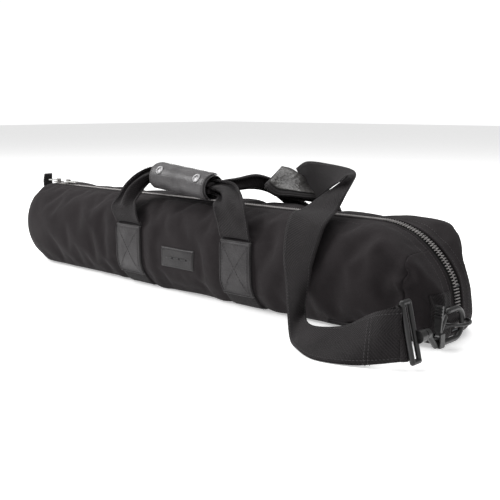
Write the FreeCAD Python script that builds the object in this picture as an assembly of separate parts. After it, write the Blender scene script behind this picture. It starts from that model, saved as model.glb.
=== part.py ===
import FreeCAD, Part
import math
import os

# Padded cylindrical carry bag with a clamshell zip, a wrapped twin handle and a clip-on shoulder strap.
# Units are millimetres. +X runs along the bag to the end that opens, -Y is the front, +Z is up.
# The origin is on the floor, in the bag's middle plane, 369.5 mm in from the far end.

V = FreeCAD.Vector

# ---- bag body -------------------------------------------------------------------------------------
HALF_WIDTH = 72.0
TOP_Z = 118.0
BASE_Z = 1.6            # the bands under the bag lift it, and the base sags to the floor between them
BOTTOM_RADIUS = 26.0
TOP_RADIUS = 48.0
FAR_X = -380.0          # tip of the plan's dome, which the rounding ball then cuts back
FAR_CLEAR = 1.0         # the side profile's dome stands this far outside the plan's
FAR_DOME_X = -330.0
FAR_ROUND_R = 76.0      # ball that rounds the far end and sets how far it reaches
FAR_ROUND_X = -293.5
LEAN_WAY = V(0.7004, 0.6534, 0.2874)    # the rear corner of the opening end leans in, facing this way
LEAN_REACH = 291.9      # from the origin to that leaning plane
NEAR_X = 384.0
SHOULDER_X = 300.0      # where the top starts to fall away to the opening end
OUTER_T = 1.5           # outer canvas
FOAM_END = 7.5          # depth of the foam's inner face
LINING_END = 8.5
BIG = 1000.0

# ---- zip ------------------------------------------------------------------------------------------
ZIP_Y = -12.0
TAPE_REACH = 11.0
ZIP_START_X = -340.0
ZIP_END_Z = 12.0
TAPE_GAP = 1.6
TAB_EDGE_Y = ZIP_Y - TAPE_REACH - 1.5
COIL_NEAR = 0.8
COIL_FAR = 3.8
COIL_PROUD = 1.6
SLIDER_A_X = -298.0
SLIDER_B_X = -324.0

# ---- end flap -------------------------------------------------------------------------------------
FLAP_X = 250.0
FLAP_GAP = 0.6
FLAP_Z = 58.0
PANEL_END_X = 350.0

# ---- webbing, handles and grip ---------------------------------------------------------------------
WEB = 50.0
WEB_T = 1.6
BAND_FAR_X = -75.0
BAND_NEAR_X = 123.0
BAND_TOP_Z = 88.0
PATCH_LOW = 19.0
PATCH_HIGH = 83.0
GRIP_LEFT = V(-56.0, -33.0, 147.0)
GRIP_RIGHT = V(48.0, -33.0, 137.5)
GRIP_TUBE_R = 14.0
GRIP_TUBE_T = 2.0
GRIP_FLAP_T = 2.2
FLAP_START_DEG = 70.0
FLAP_END_DEG = 240.0
SNAP_DEG = 145.0
SNAP_SPACING = 70.0

# ---- snap hook, ring and tab -----------------------------------------------------------------------
HOOK_X = 395.0
HOOK_Z = 30.0
JAW_Y = -47.0
JAW_R = 15.0
ROD_R = 2.8
RING_X = 388.2
RING_Y = JAW_Y + 8.0
RING_R = 17.0
RING_ROD = 1.75
LOOP_Y = JAW_Y - 71.0
LOOP_LIFT = 5.0
STEM_Y = JAW_Y - 49.0
KNEE_Y = JAW_Y - 35.0
GATE_Y = JAW_Y - 29.5
GATE_Z = HOOK_Z - 8.0
FAR_SHIFT = 21.2        # the far end stands this much further in than the near end face
FAR_SIDE = -15.0        # and its fittings sit this much nearer the bag's middle plane

# ---- shoulder strap --------------------------------------------------------------------------------
GLIDE_X = -60.0         # the length adjuster, on the run behind the bag
GLIDE_Y = 109.0
GLIDE_SLOT = 25.8       # half the width of the webbing's slots in it
PAD_T = 9.0
PAD_GRIP_T = 1.6


def poly(points):
    return Part.Wire(Part.makePolygon(points + [points[0]]).Edges)


def arc(a, b, c):
    return Part.Arc(a, b, c).toShape()


def line(a, b):
    return Part.LineSegment(a, b).toShape()


def box(x0, x1, y0, y1, z0, z1):
    return Part.makeBox(x1 - x0, y1 - y0, z1 - z0, V(x0, y0, z0))


def rod(a, b, radius):
    return Part.makeCylinder(radius, (b - a).Length, a, b - a)


def bend(start, centre, axis, radius, degrees):
    """A round rod that turns about an axis from its start point."""
    out = start - centre
    face = Part.Face(Part.Wire(Part.makeCircle(radius, start, axis.cross(out))))
    return face.revolve(centre, axis, degrees)


def section_face():
    """Cross-section of the bag: flat base, tight lower corners and a full crown."""
    w, lo, hi, rb, rt = HALF_WIDTH, BASE_Z, TOP_Z, BOTTOM_RADIUS, TOP_RADIUS
    cb, ct = rb * math.sqrt(0.5), rt * math.sqrt(0.5)
    edges = [
        line(V(0, -w + rb, lo), V(0, w - rb, lo)),
        arc(V(0, w - rb, lo), V(0, w - rb + cb, lo + rb - cb), V(0, w, lo + rb)),
        line(V(0, w, lo + rb), V(0, w, hi - rt)),
        arc(V(0, w, hi - rt), V(0, w - rt + ct, hi - rt + ct), V(0, w - rt, hi)),
        line(V(0, w - rt, hi), V(0, -w + rt, hi)),
        arc(V(0, -w + rt, hi), V(0, -w + rt - ct, hi - rt + ct), V(0, -w, hi - rt)),
        line(V(0, -w, hi - rt), V(0, -w, lo + rb)),
        arc(V(0, -w, lo + rb), V(0, -w + rb - cb, lo + rb - cb), V(0, -w + rb, lo)),
    ]
    return Part.Face(Part.Wire(edges))


def side_face():
    """Side view: domed far end, and an opening end that falls in one long curve to a low nose."""
    lo, hi = BASE_Z, TOP_Z
    edges = [
        line(V(FAR_DOME_X, 0, hi), V(SHOULDER_X, 0, hi)),
        arc(V(SHOULDER_X, 0, hi), V(351, 0, 93), V(NEAR_X, 0, 27)),
        arc(V(NEAR_X, 0, 27), V(383, 0, 10), V(373, 0, lo)),
        line(V(373, 0, lo), V(FAR_DOME_X, 0, lo)),
        arc(V(FAR_DOME_X, 0, lo), V(FAR_X - FAR_CLEAR, 0, (lo + hi) / 2), V(FAR_DOME_X, 0, hi)),
    ]
    return Part.Face(Part.Wire(edges))


def plan_face():
    """Seen from above: round far end, and a near end rounded most at its rear corner.

    It is a little wider than the section, so that only its ends shape the bag.
    """
    w = HALF_WIDTH + 0.4
    edges = [
        line(V(FAR_DOME_X, -w, 0), V(352, -w, 0)),
        arc(V(352, -w, 0), V(375, -63, 0), V(NEAR_X, -42, 0)),
        line(V(NEAR_X, -42, 0), V(383, -4, 0)),
        arc(V(383, -4, 0), V(372, 42, 0), V(338, w, 0)),
        line(V(338, w, 0), V(FAR_DOME_X, w, 0)),
        arc(V(FAR_DOME_X, w, 0), V(FAR_X, 0, 0), V(FAR_DOME_X, -w, 0)),
    ]
    return Part.Face(Part.Wire(edges))


def grown(face, depth):
    """The face moved in by depth, or out where depth is negative."""
    if abs(depth) < 1e-9:
        return face
    moved = face.makeOffset2D(-depth)
    return moved if moved.Faces else Part.Face(moved.Wires[0])


BODIES = {}


def body(depth):
    """The bag as a solid, with its surface moved in by depth."""
    if depth not in BODIES:
        section = grown(section_face(), depth).extrude(V(2 * BIG, 0, 0)).translate(V(-BIG, 0, 0))
        side = grown(side_face(), depth).extrude(V(0, 2 * BIG, 0)).translate(V(0, -BIG, 0))
        plan = grown(plan_face(), depth).extrude(V(0, 0, 2 * BIG)).translate(V(0, 0, -BIG))
        mid = V(FAR_ROUND_X, 0, (BASE_Z + TOP_Z) / 2)
        radius = FAR_ROUND_R - depth
        ball = Part.makeSphere(radius, mid).fuse(rod(mid, mid + V(BIG, 0, 0), radius))
        tip = LEAN_WAY * (LEAN_REACH - depth)
        lean = rod(tip, tip - LEAN_WAY * 2 * BIG, 2 * BIG)
        BODIES[depth] = section.common(side).common(plan).common(ball).common(lean)
    return BODIES[depth]


def layer(outside, inside):
    """The closed skin between two depths of the bag."""
    return body(outside).cut(body(inside))


def ribbon(stations, thick, shift=0.0):
    """A band of webbing through pairs of edge points, as a closed faceted solid."""
    upper, lower = [], []
    for i, (left, right) in enumerate(stations):
        before = stations[max(i - 1, 0)]
        after = stations[min(i + 1, len(stations) - 1)]
        along = (after[0] + after[1]) - (before[0] + before[1])
        normal = along.cross(right - left).normalize()
        upper.append((left + normal * (shift + thick / 2), right + normal * (shift + thick / 2)))
        lower.append((left + normal * (shift - thick / 2), right + normal * (shift - thick / 2)))
    quads = []
    for i in range(len(stations) - 1):
        quads.append((upper[i][0], upper[i][1], upper[i + 1][1], upper[i + 1][0]))
        quads.append((lower[i][0], lower[i][1], lower[i + 1][1], lower[i + 1][0]))
        quads.append((upper[i][0], upper[i + 1][0], lower[i + 1][0], lower[i][0]))
        quads.append((upper[i][1], upper[i + 1][1], lower[i + 1][1], lower[i][1]))
    for end in (0, -1):
        quads.append((upper[end][0], upper[end][1], lower[end][1], lower[end][0]))
    faces = []
    for a, b, c, d in quads:
        faces.append(Part.Face(poly([a, b, c])))
        faces.append(Part.Face(poly([a, c, d])))
    shell = Part.makeShell(faces)
    shell.sewShape()
    solid = Part.makeSolid(shell)
    if solid.Volume < 0:
        solid.reverse()
    return solid


def pairs(rows):
    return [(V(*row[0]), V(*row[1])) for row in rows]


def upright(points):
    """Edge pairs for webbing that stands on its lower edge along a line of points."""
    return [(V(x, y, z), V(x, y, z + WEB)) for x, y, z in points]


def far_end(shape):
    """The same piece at the other end of the bag."""
    turned = shape.copy()
    turned.rotate(V(0, 0, 0), V(0, 0, 1), 180)
    turned.translate(V(FAR_SHIFT, FAR_SIDE, 0))
    return turned


# ---- shells of the bag -----------------------------------------------------------------------------
def slot(margin):
    """The channel that the zip fills, along the top and down the opening end."""
    reach = TAPE_REACH + margin
    return box(ZIP_START_X, BIG, ZIP_Y - reach, ZIP_Y + reach, ZIP_END_Z, BIG)


def flap_zone(gap):
    """Rear upper quarter of the opening end, which swings away when unzipped."""
    return box(FLAP_X - gap, BIG, ZIP_Y + 0.1, BIG, FLAP_Z - gap, BIG)


def shells():
    outer = layer(0, OUTER_T).cut(slot(0))
    foam = layer(OUTER_T, FOAM_END).cut(slot(1))
    lining = layer(FOAM_END, LINING_END).cut(slot(1))
    base_zone = box(FAR_DOME_X, PANEL_END_X, -46, 46, -10, 16)
    middle = box(FAR_DOME_X, PANEL_END_X, -BIG, BIG, -BIG, BIG)
    front = box(-BIG, BIG, -BIG, ZIP_Y, -BIG, BIG)
    rear = box(-BIG, BIG, ZIP_Y, BIG, -BIG, BIG)
    cap = box(-BIG, FAR_DOME_X, -BIG, BIG, -BIG, BIG)
    nose = box(PANEL_END_X, BIG, -BIG, BIG, -BIG, BIG)
    past_cap = box(FAR_DOME_X, BIG, -BIG, BIG, -BIG, BIG)
    closed = flap_zone(0)
    cleared = flap_zone(FLAP_GAP)
    sides = outer.common(middle).cut(base_zone)
    sag = layer(-WEB_T, 0).common(box(FAR_DOME_X + 8, PANEL_END_X - 8, -42, 42, -10, 5))
    for x in (BAND_FAR_X, BAND_NEAR_X):
        sag = sag.cut(box(x - WEB / 2 - 0.5, x + WEB / 2 + 0.5, -BIG, BIG, -BIG, BIG))
    return {
        "far_end_cap": outer.common(cap),
        "base_panel": outer.common(base_zone).fuse(sag),
        "front_panel": sides.common(front),
        "rear_panel": sides.common(rear).cut(cleared),
        "near_end_panel": outer.common(nose).cut(cleared),
        "end_flap_shell": outer.common(closed),
        "far_end_foam": foam.common(cap),
        "front_foam": foam.common(past_cap).common(front),
        "rear_foam": foam.common(past_cap).common(rear).cut(cleared),
        "end_flap_foam": foam.common(closed),
        "body_lining": lining.cut(cleared),
        "end_flap_lining": lining.common(closed),
    }


# ---- zip -------------------------------------------------------------------------------------------
def zip_parts():
    tape = layer(0.8, 2.0).common(slot(0))
    coil = layer(-COIL_PROUD, 0.8).common(slot(0))
    fixed = box(-BIG, FLAP_X - FLAP_GAP, -BIG, BIG, -BIG, BIG)
    swung = box(FLAP_X, BIG, -BIG, BIG, FLAP_Z, BIG)
    low_nose = box(FLAP_X - FLAP_GAP, BIG, -BIG, BIG, -BIG, FLAP_Z - FLAP_GAP)
    front_tape = box(-BIG, BIG, ZIP_Y - TAPE_REACH, ZIP_Y - TAPE_GAP, -BIG, BIG)
    rear_tape = box(-BIG, BIG, ZIP_Y + TAPE_GAP, ZIP_Y + TAPE_REACH, -BIG, BIG)
    front_coil = box(-BIG, BIG, ZIP_Y - COIL_FAR, ZIP_Y - COIL_NEAR, -BIG, BIG)
    rear_coil = box(-BIG, BIG, ZIP_Y + COIL_NEAR, ZIP_Y + COIL_FAR, -BIG, BIG)
    root_side = fixed.fuse(low_nose)
    parts = {
        "zip_tape_front": tape.common(front_tape),
        "zip_tape_rear": tape.common(rear_tape).common(root_side),
        "zip_tape_flap": tape.common(rear_tape).common(swung),
        "zip_coil_front": coil.common(front_coil),
        "zip_coil_rear": coil.common(rear_coil).common(root_side),
        "zip_coil_flap": coil.common(rear_coil).common(swung),
    }
    return parts


def slider(x):
    """Zip slider: a plate above and below the coils, joined by a thin post, with a bridge for the pull."""
    top = TOP_Z + COIL_PROUD
    plate = box(x - 6.5, x + 6.5, ZIP_Y - 5, ZIP_Y + 5, top + 0.3, top + 1.9)
    under = box(x - 6, x + 6, ZIP_Y - 4.5, ZIP_Y + 4.5, TOP_Z - 4, TOP_Z - 2.4)
    post = box(x - 2, x + 2, ZIP_Y - 0.5, ZIP_Y + 0.5, TOP_Z - 3, top + 1)
    bridge = box(x - 4, x + 4, ZIP_Y - 1.6, ZIP_Y + 1.6, top + 1.5, top + 6.2)
    hole = box(x - 2.4, x + 2.4, ZIP_Y - 3, ZIP_Y + 3, top + 2.0, top + 4.8)
    return plate.fuse([under, post, bridge.cut(hole)]).removeSplitter()


def pull(x, way):
    """Slim pull: a pin through the slider's bridge, two side arms and a tapered tag."""
    z = TOP_Z + COIL_PROUD + 3.4
    pin = rod(V(x, ZIP_Y - 3.4, z), V(x, ZIP_Y + 3.4, z), 0.8)
    arms = []
    for side in (-1, 1):
        y = ZIP_Y + side * 2.8
        arms.append(box(min(x, x + way * 7), max(x, x + way * 7), y - 0.6, y + 0.6, z - 0.7, z + 0.7))
    tag = box(min(x + way * 6.4, x + way * 23), max(x + way * 6.4, x + way * 23),
              ZIP_Y - 3.4, ZIP_Y + 3.4, z - 0.7, z + 0.7)
    hole = Part.makeCylinder(1.3, 4, V(x + way * 19.5, ZIP_Y, z - 2))
    return pin.fuse(arms + [tag.cut(hole)]).removeSplitter()


# ---- webbing, patches and label ---------------------------------------------------------------------
def trims():
    band_skin = layer(-WEB_T, 0)
    patch_skin = layer(-WEB_T - 1.4, -WEB_T)
    parts = {}
    rear_patches = []
    for name, x in (("far", BAND_FAR_X), ("near", BAND_NEAR_X)):
        zone = box(x - WEB / 2, x + WEB / 2, -BIG, BIG, -BIG, BAND_TOP_Z)
        parts["webbing_band_" + name] = band_skin.common(zone)
        front_zone = box(x - WEB / 2 + 0.5, x + WEB / 2 - 0.5, -BIG, 0, PATCH_LOW, PATCH_HIGH)
        rear_zone = box(x - WEB / 2 + 0.5, x + WEB / 2 - 0.5, 0, BIG, PATCH_LOW, PATCH_HIGH)
        parts["patch_front_" + name] = patch_skin.common(front_zone)
        rear_patches.append(patch_skin.common(rear_zone))
    parts["rear_patches"] = Part.makeCompound(rear_patches)
    parts["label"] = layer(-1.4, 0).common(box(-9, 51, -BIG, 0, 37, 62))
    tab = pairs([((-352, -20, 103), (-352, -4, 103)), ((-355, -20, 118), (-355, -4, 118)),
                 ((-353, -19, 132), (-353, -5, 132))])
    parts["far_pull_tab"] = ribbon(tab, 3.0).cut(body(-0.1))
    return parts


def handle_legs():
    """The four free webbing legs between the bands and the grip, gathered towards the grip."""
    rows = {
        "handle_leg_front_far": [((-100, -73, 88.6), (-50, -73, 88.6)), ((-104, -77, 104), (-52, -77, 102)),
                                 ((-98, -70, 122), (-62, -70, 116)), ((-86, -54, 146), (-66, -54, 128)),
                                 ((-72, -36, 157), (-70, -36, 138)), ((-59, -33, 156), (-59, -33, 138))],
        "handle_leg_front_near": [((98, -73, 88.6), (148, -73, 88.6)), ((97, -77, 104), (147, -77, 104)),
                                  ((88, -74, 122), (134, -68, 128)), ((74, -56, 126), (98, -46, 146)),
                                  ((60, -38, 128), (66, -36, 148)), ((51, -33, 129), (53, -33, 147))],
        "handle_leg_rear_far": [((-100, 73, 88.6), (-50, 73, 88.6)), ((-98, 73, 104), (-52, 73, 106)),
                                ((-90, 48, 132), (-54, 48, 134)), ((-80, 10, 141), (-62, 10, 152)),
                                ((-64, -19, 141), (-60, -19, 154))],
        "handle_leg_rear_near": [((98, 73, 88.6), (148, 73, 88.6)), ((96, 73, 104), (134, 73, 101)),
                                 ((78, 56, 120), (106, 60, 116)), ((66, 26, 132), (85, 22, 148)),
                                 ((51, -18, 131), (53, -18, 145))],
    }
    return {name: ribbon(pairs(row), 2.4) for name, row in rows.items()}


# ---- grip ------------------------------------------------------------------------------------------
def on_grip(shape):
    """Moves a piece made about the X axis, centred on the origin, to the grip's tilted axis."""
    along = GRIP_RIGHT - GRIP_LEFT
    moved = shape.copy()
    moved.rotate(V(0, 0, 0), V(0, 1, 0), -math.degrees(math.atan2(along.z, along.x)))
    moved.translate((GRIP_LEFT + GRIP_RIGHT) * 0.5)
    return moved


def ring_sector(inner, outer, length, start, end):
    """Part of a tube about the X axis, from start to end degrees, measured from +Y towards +Z."""
    mid = (start + end) / 2
    points = []
    for radius, angles in ((outer, (start, mid, end)), (inner, (end, mid, start))):
        points.append([V(-length / 2, radius * math.cos(math.radians(a)), radius * math.sin(math.radians(a)))
                       for a in angles])
    a, b = points
    wire = Part.Wire([arc(*a), line(a[2], b[0]), arc(*b), line(b[2], a[0])])
    return Part.Face(wire).extrude(V(length, 0, 0))


def snap_disc(x, radius, low, high):
    """A disc whose axis points out of the grip at the snaps' angle."""
    out = V(0, math.cos(math.radians(SNAP_DEG)), math.sin(math.radians(SNAP_DEG)))
    return rod(V(x, 0, 0) + out * low, V(x, 0, 0) + out * high, radius)


def grip_parts():
    length = (GRIP_RIGHT - GRIP_LEFT).Length
    tube_out = GRIP_TUBE_R + GRIP_TUBE_T
    flap_in = tube_out + 0.2
    flap_out = flap_in + GRIP_FLAP_T
    tube = rod(V(-length / 2, 0, 0), V(length / 2, 0, 0), tube_out)
    tube = tube.cut(rod(V(-length, 0, 0), V(length, 0, 0), GRIP_TUBE_R))
    flap = ring_sector(flap_in, flap_out, length - 2, FLAP_START_DEG, FLAP_END_DEG)
    studs, caps = [], []
    for x in (-SNAP_SPACING / 2, SNAP_SPACING / 2):
        flap = flap.cut(snap_disc(x, 4.8, 0, 30))
        studs.append(snap_disc(x, 3.0, GRIP_TUBE_R + 0.4, tube_out + 1.6))
        tube = tube.cut(snap_disc(x, 3.0, 0, 30))
        cap = snap_disc(x, 6.2, tube_out + 1.9, flap_out + 1.4)
        ring = snap_disc(x, 6.2, 0, flap_out + 1.4).common(rod(V(-length, 0, 0), V(length, 0, 0), flap_out))
        caps.append(cap.cut(ring))
    run = box(-length / 2, length / 2, -11, 11, 0.2, 7.6)
    return {
        "grip_sleeve": on_grip(tube),
        "grip_flap": on_grip(flap),
        "snap_studs": on_grip(Part.makeCompound(studs)),
        "snap_caps": on_grip(Part.makeCompound(caps)),
        "handle_core_front": on_grip(run.mirror(V(0, 0, 0), V(0, 0, 1))),
        "handle_core_rear": on_grip(run),
    }


# ---- strap hardware ---------------------------------------------------------------------------------
def d_ring():
    bar = rod(V(RING_X, RING_Y - RING_R, HOOK_Z), V(RING_X, RING_Y + RING_R, HOOK_Z), RING_ROD)
    centre = V(RING_X, RING_Y, HOOK_Z)
    bow = bend(centre - V(0, RING_R, 0), centre, V(0, 0, 1), RING_ROD, 180)
    ends = [Part.makeSphere(RING_ROD, V(RING_X, RING_Y + s * RING_R, HOOK_Z)) for s in (-1, 1)]
    return bar.fuse([bow] + ends).removeSplitter()


def tab_sleeve():
    """The tab's webbing where it is wrapped round the ring's straight bar."""
    y0, y1 = RING_Y - RING_R + 4, TAB_EDGE_Y
    wrap = rod(V(RING_X, y0, HOOK_Z), V(RING_X, y1, HOOK_Z), 3.2)
    web = box(RING_X - 5.5, RING_X, y0, y1, HOOK_Z - 3.2, HOOK_Z + 3.2)
    hole = rod(V(RING_X, y0 - 1, HOOK_Z), V(RING_X, y1 + 1, HOOK_Z), RING_ROD + 0.15)
    return wrap.fuse(web).cut(hole)


def strap_loop():
    """Rounded rectangular loop for the webbing, leaning a little, with the socket of the swivel."""
    x, z, half, gap = HOOK_X - 5, HOOK_Z + LOOP_LIFT, 27.5, 5.5
    corners = [V(x, LOOP_Y + sy * gap, z + sz * half) for sy, sz in ((-1, -1), (1, -1), (1, 1), (-1, 1))]
    solids = [rod(corners[i], corners[(i + 1) % 4], 2.6) for i in range(4)]
    solids += [Part.makeSphere(2.6, c) for c in corners]
    loop = solids[0].fuse(solids[1:])
    loop.rotate(V(x, LOOP_Y, z), V(0, 1, 0), -14)
    socket = rod(V(HOOK_X, LOOP_Y + gap - 1, HOOK_Z), V(HOOK_X, LOOP_Y + gap + 8, HOOK_Z), 6.0)
    link = box(HOOK_X - 7, HOOK_X + 3, LOOP_Y + gap - 1, LOOP_Y + gap + 3, HOOK_Z - 5, HOOK_Z + 5)
    bore = rod(V(HOOK_X, LOOP_Y + gap + 2, HOOK_Z), V(HOOK_X, LOOP_Y + gap + 9, HOOK_Z), 3.4)
    return loop.fuse([link, socket]).cut(bore)


def hook_body():
    """Hook with a swivel stem, a lower limb, a round jaw and two ears for the gate."""
    x, z, y = HOOK_X, HOOK_Z, JAW_Y
    stem = rod(V(x, LOOP_Y + 8.5, z), V(x, STEM_Y, z), 3.3)
    collar = rod(V(x, STEM_Y - 6, z), V(x, STEM_Y, z), 5.0)
    neck = rod(V(x, STEM_Y - 1, z), V(x, KNEE_Y, z - JAW_R), ROD_R)
    knee = Part.makeSphere(ROD_R, V(x, KNEE_Y, z - JAW_R))
    limb = rod(V(x, KNEE_Y, z - JAW_R), V(x, y, z - JAW_R), ROD_R)
    jaw = bend(V(x, y, z - JAW_R), V(x, y, z), V(1, 0, 0), ROD_R, 180)
    arm = rod(V(x, y, z + JAW_R), V(x, y - 13, z + JAW_R), ROD_R)
    tip = Part.makeSphere(ROD_R, V(x, y - 13, z + JAW_R))
    solid = stem.fuse([collar, neck, knee, limb, jaw, arm, tip])
    low = z - JAW_R
    fork = box(x - 4.7, x + 4.7, GATE_Y - 4, GATE_Y + 4, low - 2.5, z - 4)
    slit = box(x - 3.1, x + 3.1, GATE_Y - 6, GATE_Y + 6, low + 2.9, z)
    solid = solid.fuse(fork.cut(slit))
    pin_hole = rod(V(x - 8, GATE_Y, GATE_Z), V(x + 8, GATE_Y, GATE_Z), 1.3)
    return solid.cut(pin_hole).removeSplitter()


def gate_pin():
    return rod(V(HOOK_X - 4.7, GATE_Y, GATE_Z), V(HOOK_X + 4.7, GATE_Y, GATE_Z), 1.3)


def hook_gate():
    """Gate that closes the jaw, with the thumb lever that opens it."""
    x = HOOK_X
    hub = rod(V(x - 2.7, GATE_Y, GATE_Z), V(x + 2.7, GATE_Y, GATE_Z), 3.4)
    y = GATE_Y
    tip = V(x, y + 11.9, GATE_Z + 18.2)
    bar = rod(V(x, y, GATE_Z), tip, 2.0)
    end = Part.makeSphere(2.0, tip)
    lever = ribbon(pairs([((x - 2.7, y - 1, GATE_Z), (x + 2.7, y - 1, GATE_Z)),
                          ((x - 4, y - 1, GATE_Z + 18), (x + 4, y - 1, GATE_Z + 18)),
                          ((x - 4, y + 0.5, GATE_Z + 31), (x + 4, y + 0.5, GATE_Z + 31))]), 2.2)
    ridges = []
    for i in range(4):
        low = GATE_Z + 20 + i * 3
        ridges.append(box(x - 4, x + 4, y - 3.1 + i * 0.35, y - 0.5 + i * 0.35, low, low + 1.4))
    pin_hole = rod(V(x - 8, GATE_Y, GATE_Z), V(x + 8, GATE_Y, GATE_Z), 1.35)
    return hub.fuse([bar, end, lever] + ridges).cut(pin_hole)


def tab_strip():
    """The run of webbing down the opening end that holds the ring, as a zone to cut the skin with."""
    return box(300, BIG, RING_Y - 19, TAB_EDGE_Y, 6, 56)


def hardware():
    pieces = {"d_ring": d_ring(), "strap_loop": strap_loop(), "hook_body": hook_body(),
              "gate_pin": gate_pin(), "hook_gate": hook_gate()}
    parts = {}
    for name, shape in pieces.items():
        parts["near_" + name] = shape
        parts["far_" + name] = far_end(shape)
    skin = layer(-WEB_T, 0)
    inside = body(-WEB_T)
    parts["near_tab"] = tab_sleeve().cut(inside).fuse(skin.common(tab_strip()))
    parts["far_tab"] = far_end(tab_sleeve()).cut(inside).fuse(skin.common(far_end(tab_strip())))
    return parts


# ---- shoulder strap ---------------------------------------------------------------------------------
def strap_adjuster():
    """Flat three-bar glide that the webbing is threaded through."""
    glide = box(GLIDE_X - 14, GLIDE_X + 14, GLIDE_Y - 30, GLIDE_Y + 30, 0.5, 6.2)
    glide = glide.cut(box(GLIDE_X - 20, GLIDE_X + 20, GLIDE_Y - GLIDE_SLOT, GLIDE_Y + GLIDE_SLOT, -1, 3.2))
    for side in (-1, 1):
        x = GLIDE_X + side * 6
        glide = glide.cut(box(x - 4, x + 4, GLIDE_Y - GLIDE_SLOT, GLIDE_Y + GLIDE_SLOT, 0, 8))
    return glide


def strap_parts():
    """The webbing's runs from the near loop, over the bag and back along the floor to the far loop."""
    near_floor = [((386, -128, 8), (386, -128, 58)), ((370, -139, 5), (368, -132, 54)),
                  ((352, -148, 2), (346, -122, 44)), ((330, -156, 1.4), (316, -117, 27)),
                  ((305, -158, 1.4), (284, -117, 20)), ((278, -145, 1.4), (258, -104, 18)),
                  ((254, -126, 1.8), (241, -84, 22))]
    far_floor = [(-364.9, 114, 8), (-346, 128, 4), (-326, 138, 0.5), (-302, 139, 0.5)]
    riser = [((250, -123, 3), (237, -82, 26)), ((232, -106, 20), (238, -79.5, 42)),
             ((214, -88, 48), (243, -80.5, 62)), ((204, -81, 84), (247, -82, 76)),
             ((200, -66, 121), (252, -70, 114)), ((199, -42, 128), (249, -44, 128)),
             ((211, -27, 138), (251, -32, 144)), ((232, -24, 153), (244, -12, 153))]
    top_loop = [((243, -20, 163), (229, 16, 162)), ((212, 8, 153), (201, 42, 165)),
                ((183, 28, 141), (162, 54, 168)), ((162, 42, 131), (128, 59, 170))]
    pad = [((86, 54, 160), (98, 8, 141)), ((96, 60, 157), (108, 14, 131)), ((109, 72, 144), (126, 30, 128)),
           ((116, 90, 124), (154, 68, 120)), ((112, 102, 94), (158, 91, 92)), ((112, 100, 46), (160, 92, 50)),
           ((114, 102, 18), (162, 94, 20))]
    far_twist = [((-262, 136, 1.6), (-268, 112, 40)), ((-232, 132, 1.6), (-236, 84, 12)),
                 ((-206, 134, 1.6), (-206, 84, 1.6))]
    rear_run = [((-205, 134, 1.6), (-205, 84, 1.6)), ((110, 134, 1.6), (110, 84, 1.6)),
                ((130, 134, 1.6), (130, 104, 1.6))]
    return {
        "strap_near_floor": ribbon(pairs(near_floor), WEB_T),
        "strap_riser": ribbon(pairs(riser), WEB_T),
        "strap_top_loop": ribbon(pairs(top_loop), WEB_T),
        "shoulder_pad": ribbon(pairs(pad), PAD_T),
        "pad_grip_face": ribbon(pairs(pad), PAD_GRIP_T, -(PAD_T + PAD_GRIP_T) / 2 - 0.1),
        "strap_rear_run": ribbon(pairs(rear_run), WEB_T),
        "strap_far_run": ribbon(upright(far_floor) + pairs(far_twist), WEB_T),
        "strap_adjuster": strap_adjuster(),
    }


def main():
    os.makedirs("parts", exist_ok=True)
    parts = {}
    for group in (shells, zip_parts, trims, handle_legs, grip_parts, hardware, strap_parts):
        parts.update(group())
    for name, x, way in (("a", SLIDER_A_X, 1), ("b", SLIDER_B_X, -1)):
        parts["zip_slider_" + name] = slider(x)
        parts["zip_pull_" + name] = pull(x, way)
    for name, shape in sorted(parts.items()):
        solids = shape.Solids
        shape = solids[0] if len(solids) == 1 else Part.makeCompound(solids)
        size = shape.BoundBox
        print("%-24s solids %d  valid %s  volume %9.1f  x %7.1f %7.1f  y %7.1f %7.1f  z %6.1f %6.1f" % (
            name, len(solids), shape.isValid(), shape.Volume,
            size.XMin, size.XMax, size.YMin, size.YMax, size.ZMin, size.ZMax))
        shape.exportStep("parts/" + name + ".step")
    print(len(parts), "nodes")


main()
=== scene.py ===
import bmesh
import bpy
import math
import numpy as np
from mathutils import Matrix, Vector, noise
from mathutils.kdtree import KDTree


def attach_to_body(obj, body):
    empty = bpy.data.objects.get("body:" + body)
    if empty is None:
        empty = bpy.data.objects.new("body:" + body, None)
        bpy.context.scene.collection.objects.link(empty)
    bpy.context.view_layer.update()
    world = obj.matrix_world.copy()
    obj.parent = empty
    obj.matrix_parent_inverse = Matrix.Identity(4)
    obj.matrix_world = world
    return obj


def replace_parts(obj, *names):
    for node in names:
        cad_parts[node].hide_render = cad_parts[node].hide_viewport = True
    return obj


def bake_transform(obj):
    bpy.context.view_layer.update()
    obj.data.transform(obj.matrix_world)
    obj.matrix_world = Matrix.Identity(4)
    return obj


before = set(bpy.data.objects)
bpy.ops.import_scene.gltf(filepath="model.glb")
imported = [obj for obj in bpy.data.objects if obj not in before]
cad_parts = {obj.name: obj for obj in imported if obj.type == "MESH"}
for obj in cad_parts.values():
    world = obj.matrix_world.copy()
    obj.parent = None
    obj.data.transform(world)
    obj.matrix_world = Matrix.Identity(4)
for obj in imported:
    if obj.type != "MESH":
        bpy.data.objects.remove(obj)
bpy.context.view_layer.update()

# Shapes are worked out in millimetres in the row frame and turned into metres in mesh().
MM = 0.001
ZIP_Y, REACH = -12.0, 11.0        # the zip's middle line, and how far its channel reaches to each side
BANDS = (-75.0, 123.0)            # the middles of the two webbing bands
WEB = 50.0                        # width of the webbing
FAR_SEAM, NEAR_SEAM = -330, 350   # where the end panels are sewn on
MOUTH_Z = 58                      # height of the fold that the rear upper side opens on
BASE_Y, BASE_Z = 46, 16           # half width and height of the base panel's seam
AROUND = 68                       # cloth round the bag, in mm for each radian
SKIN_T, FOAM_END, LINING_END = 1.5, 7.5, 8.5


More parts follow.
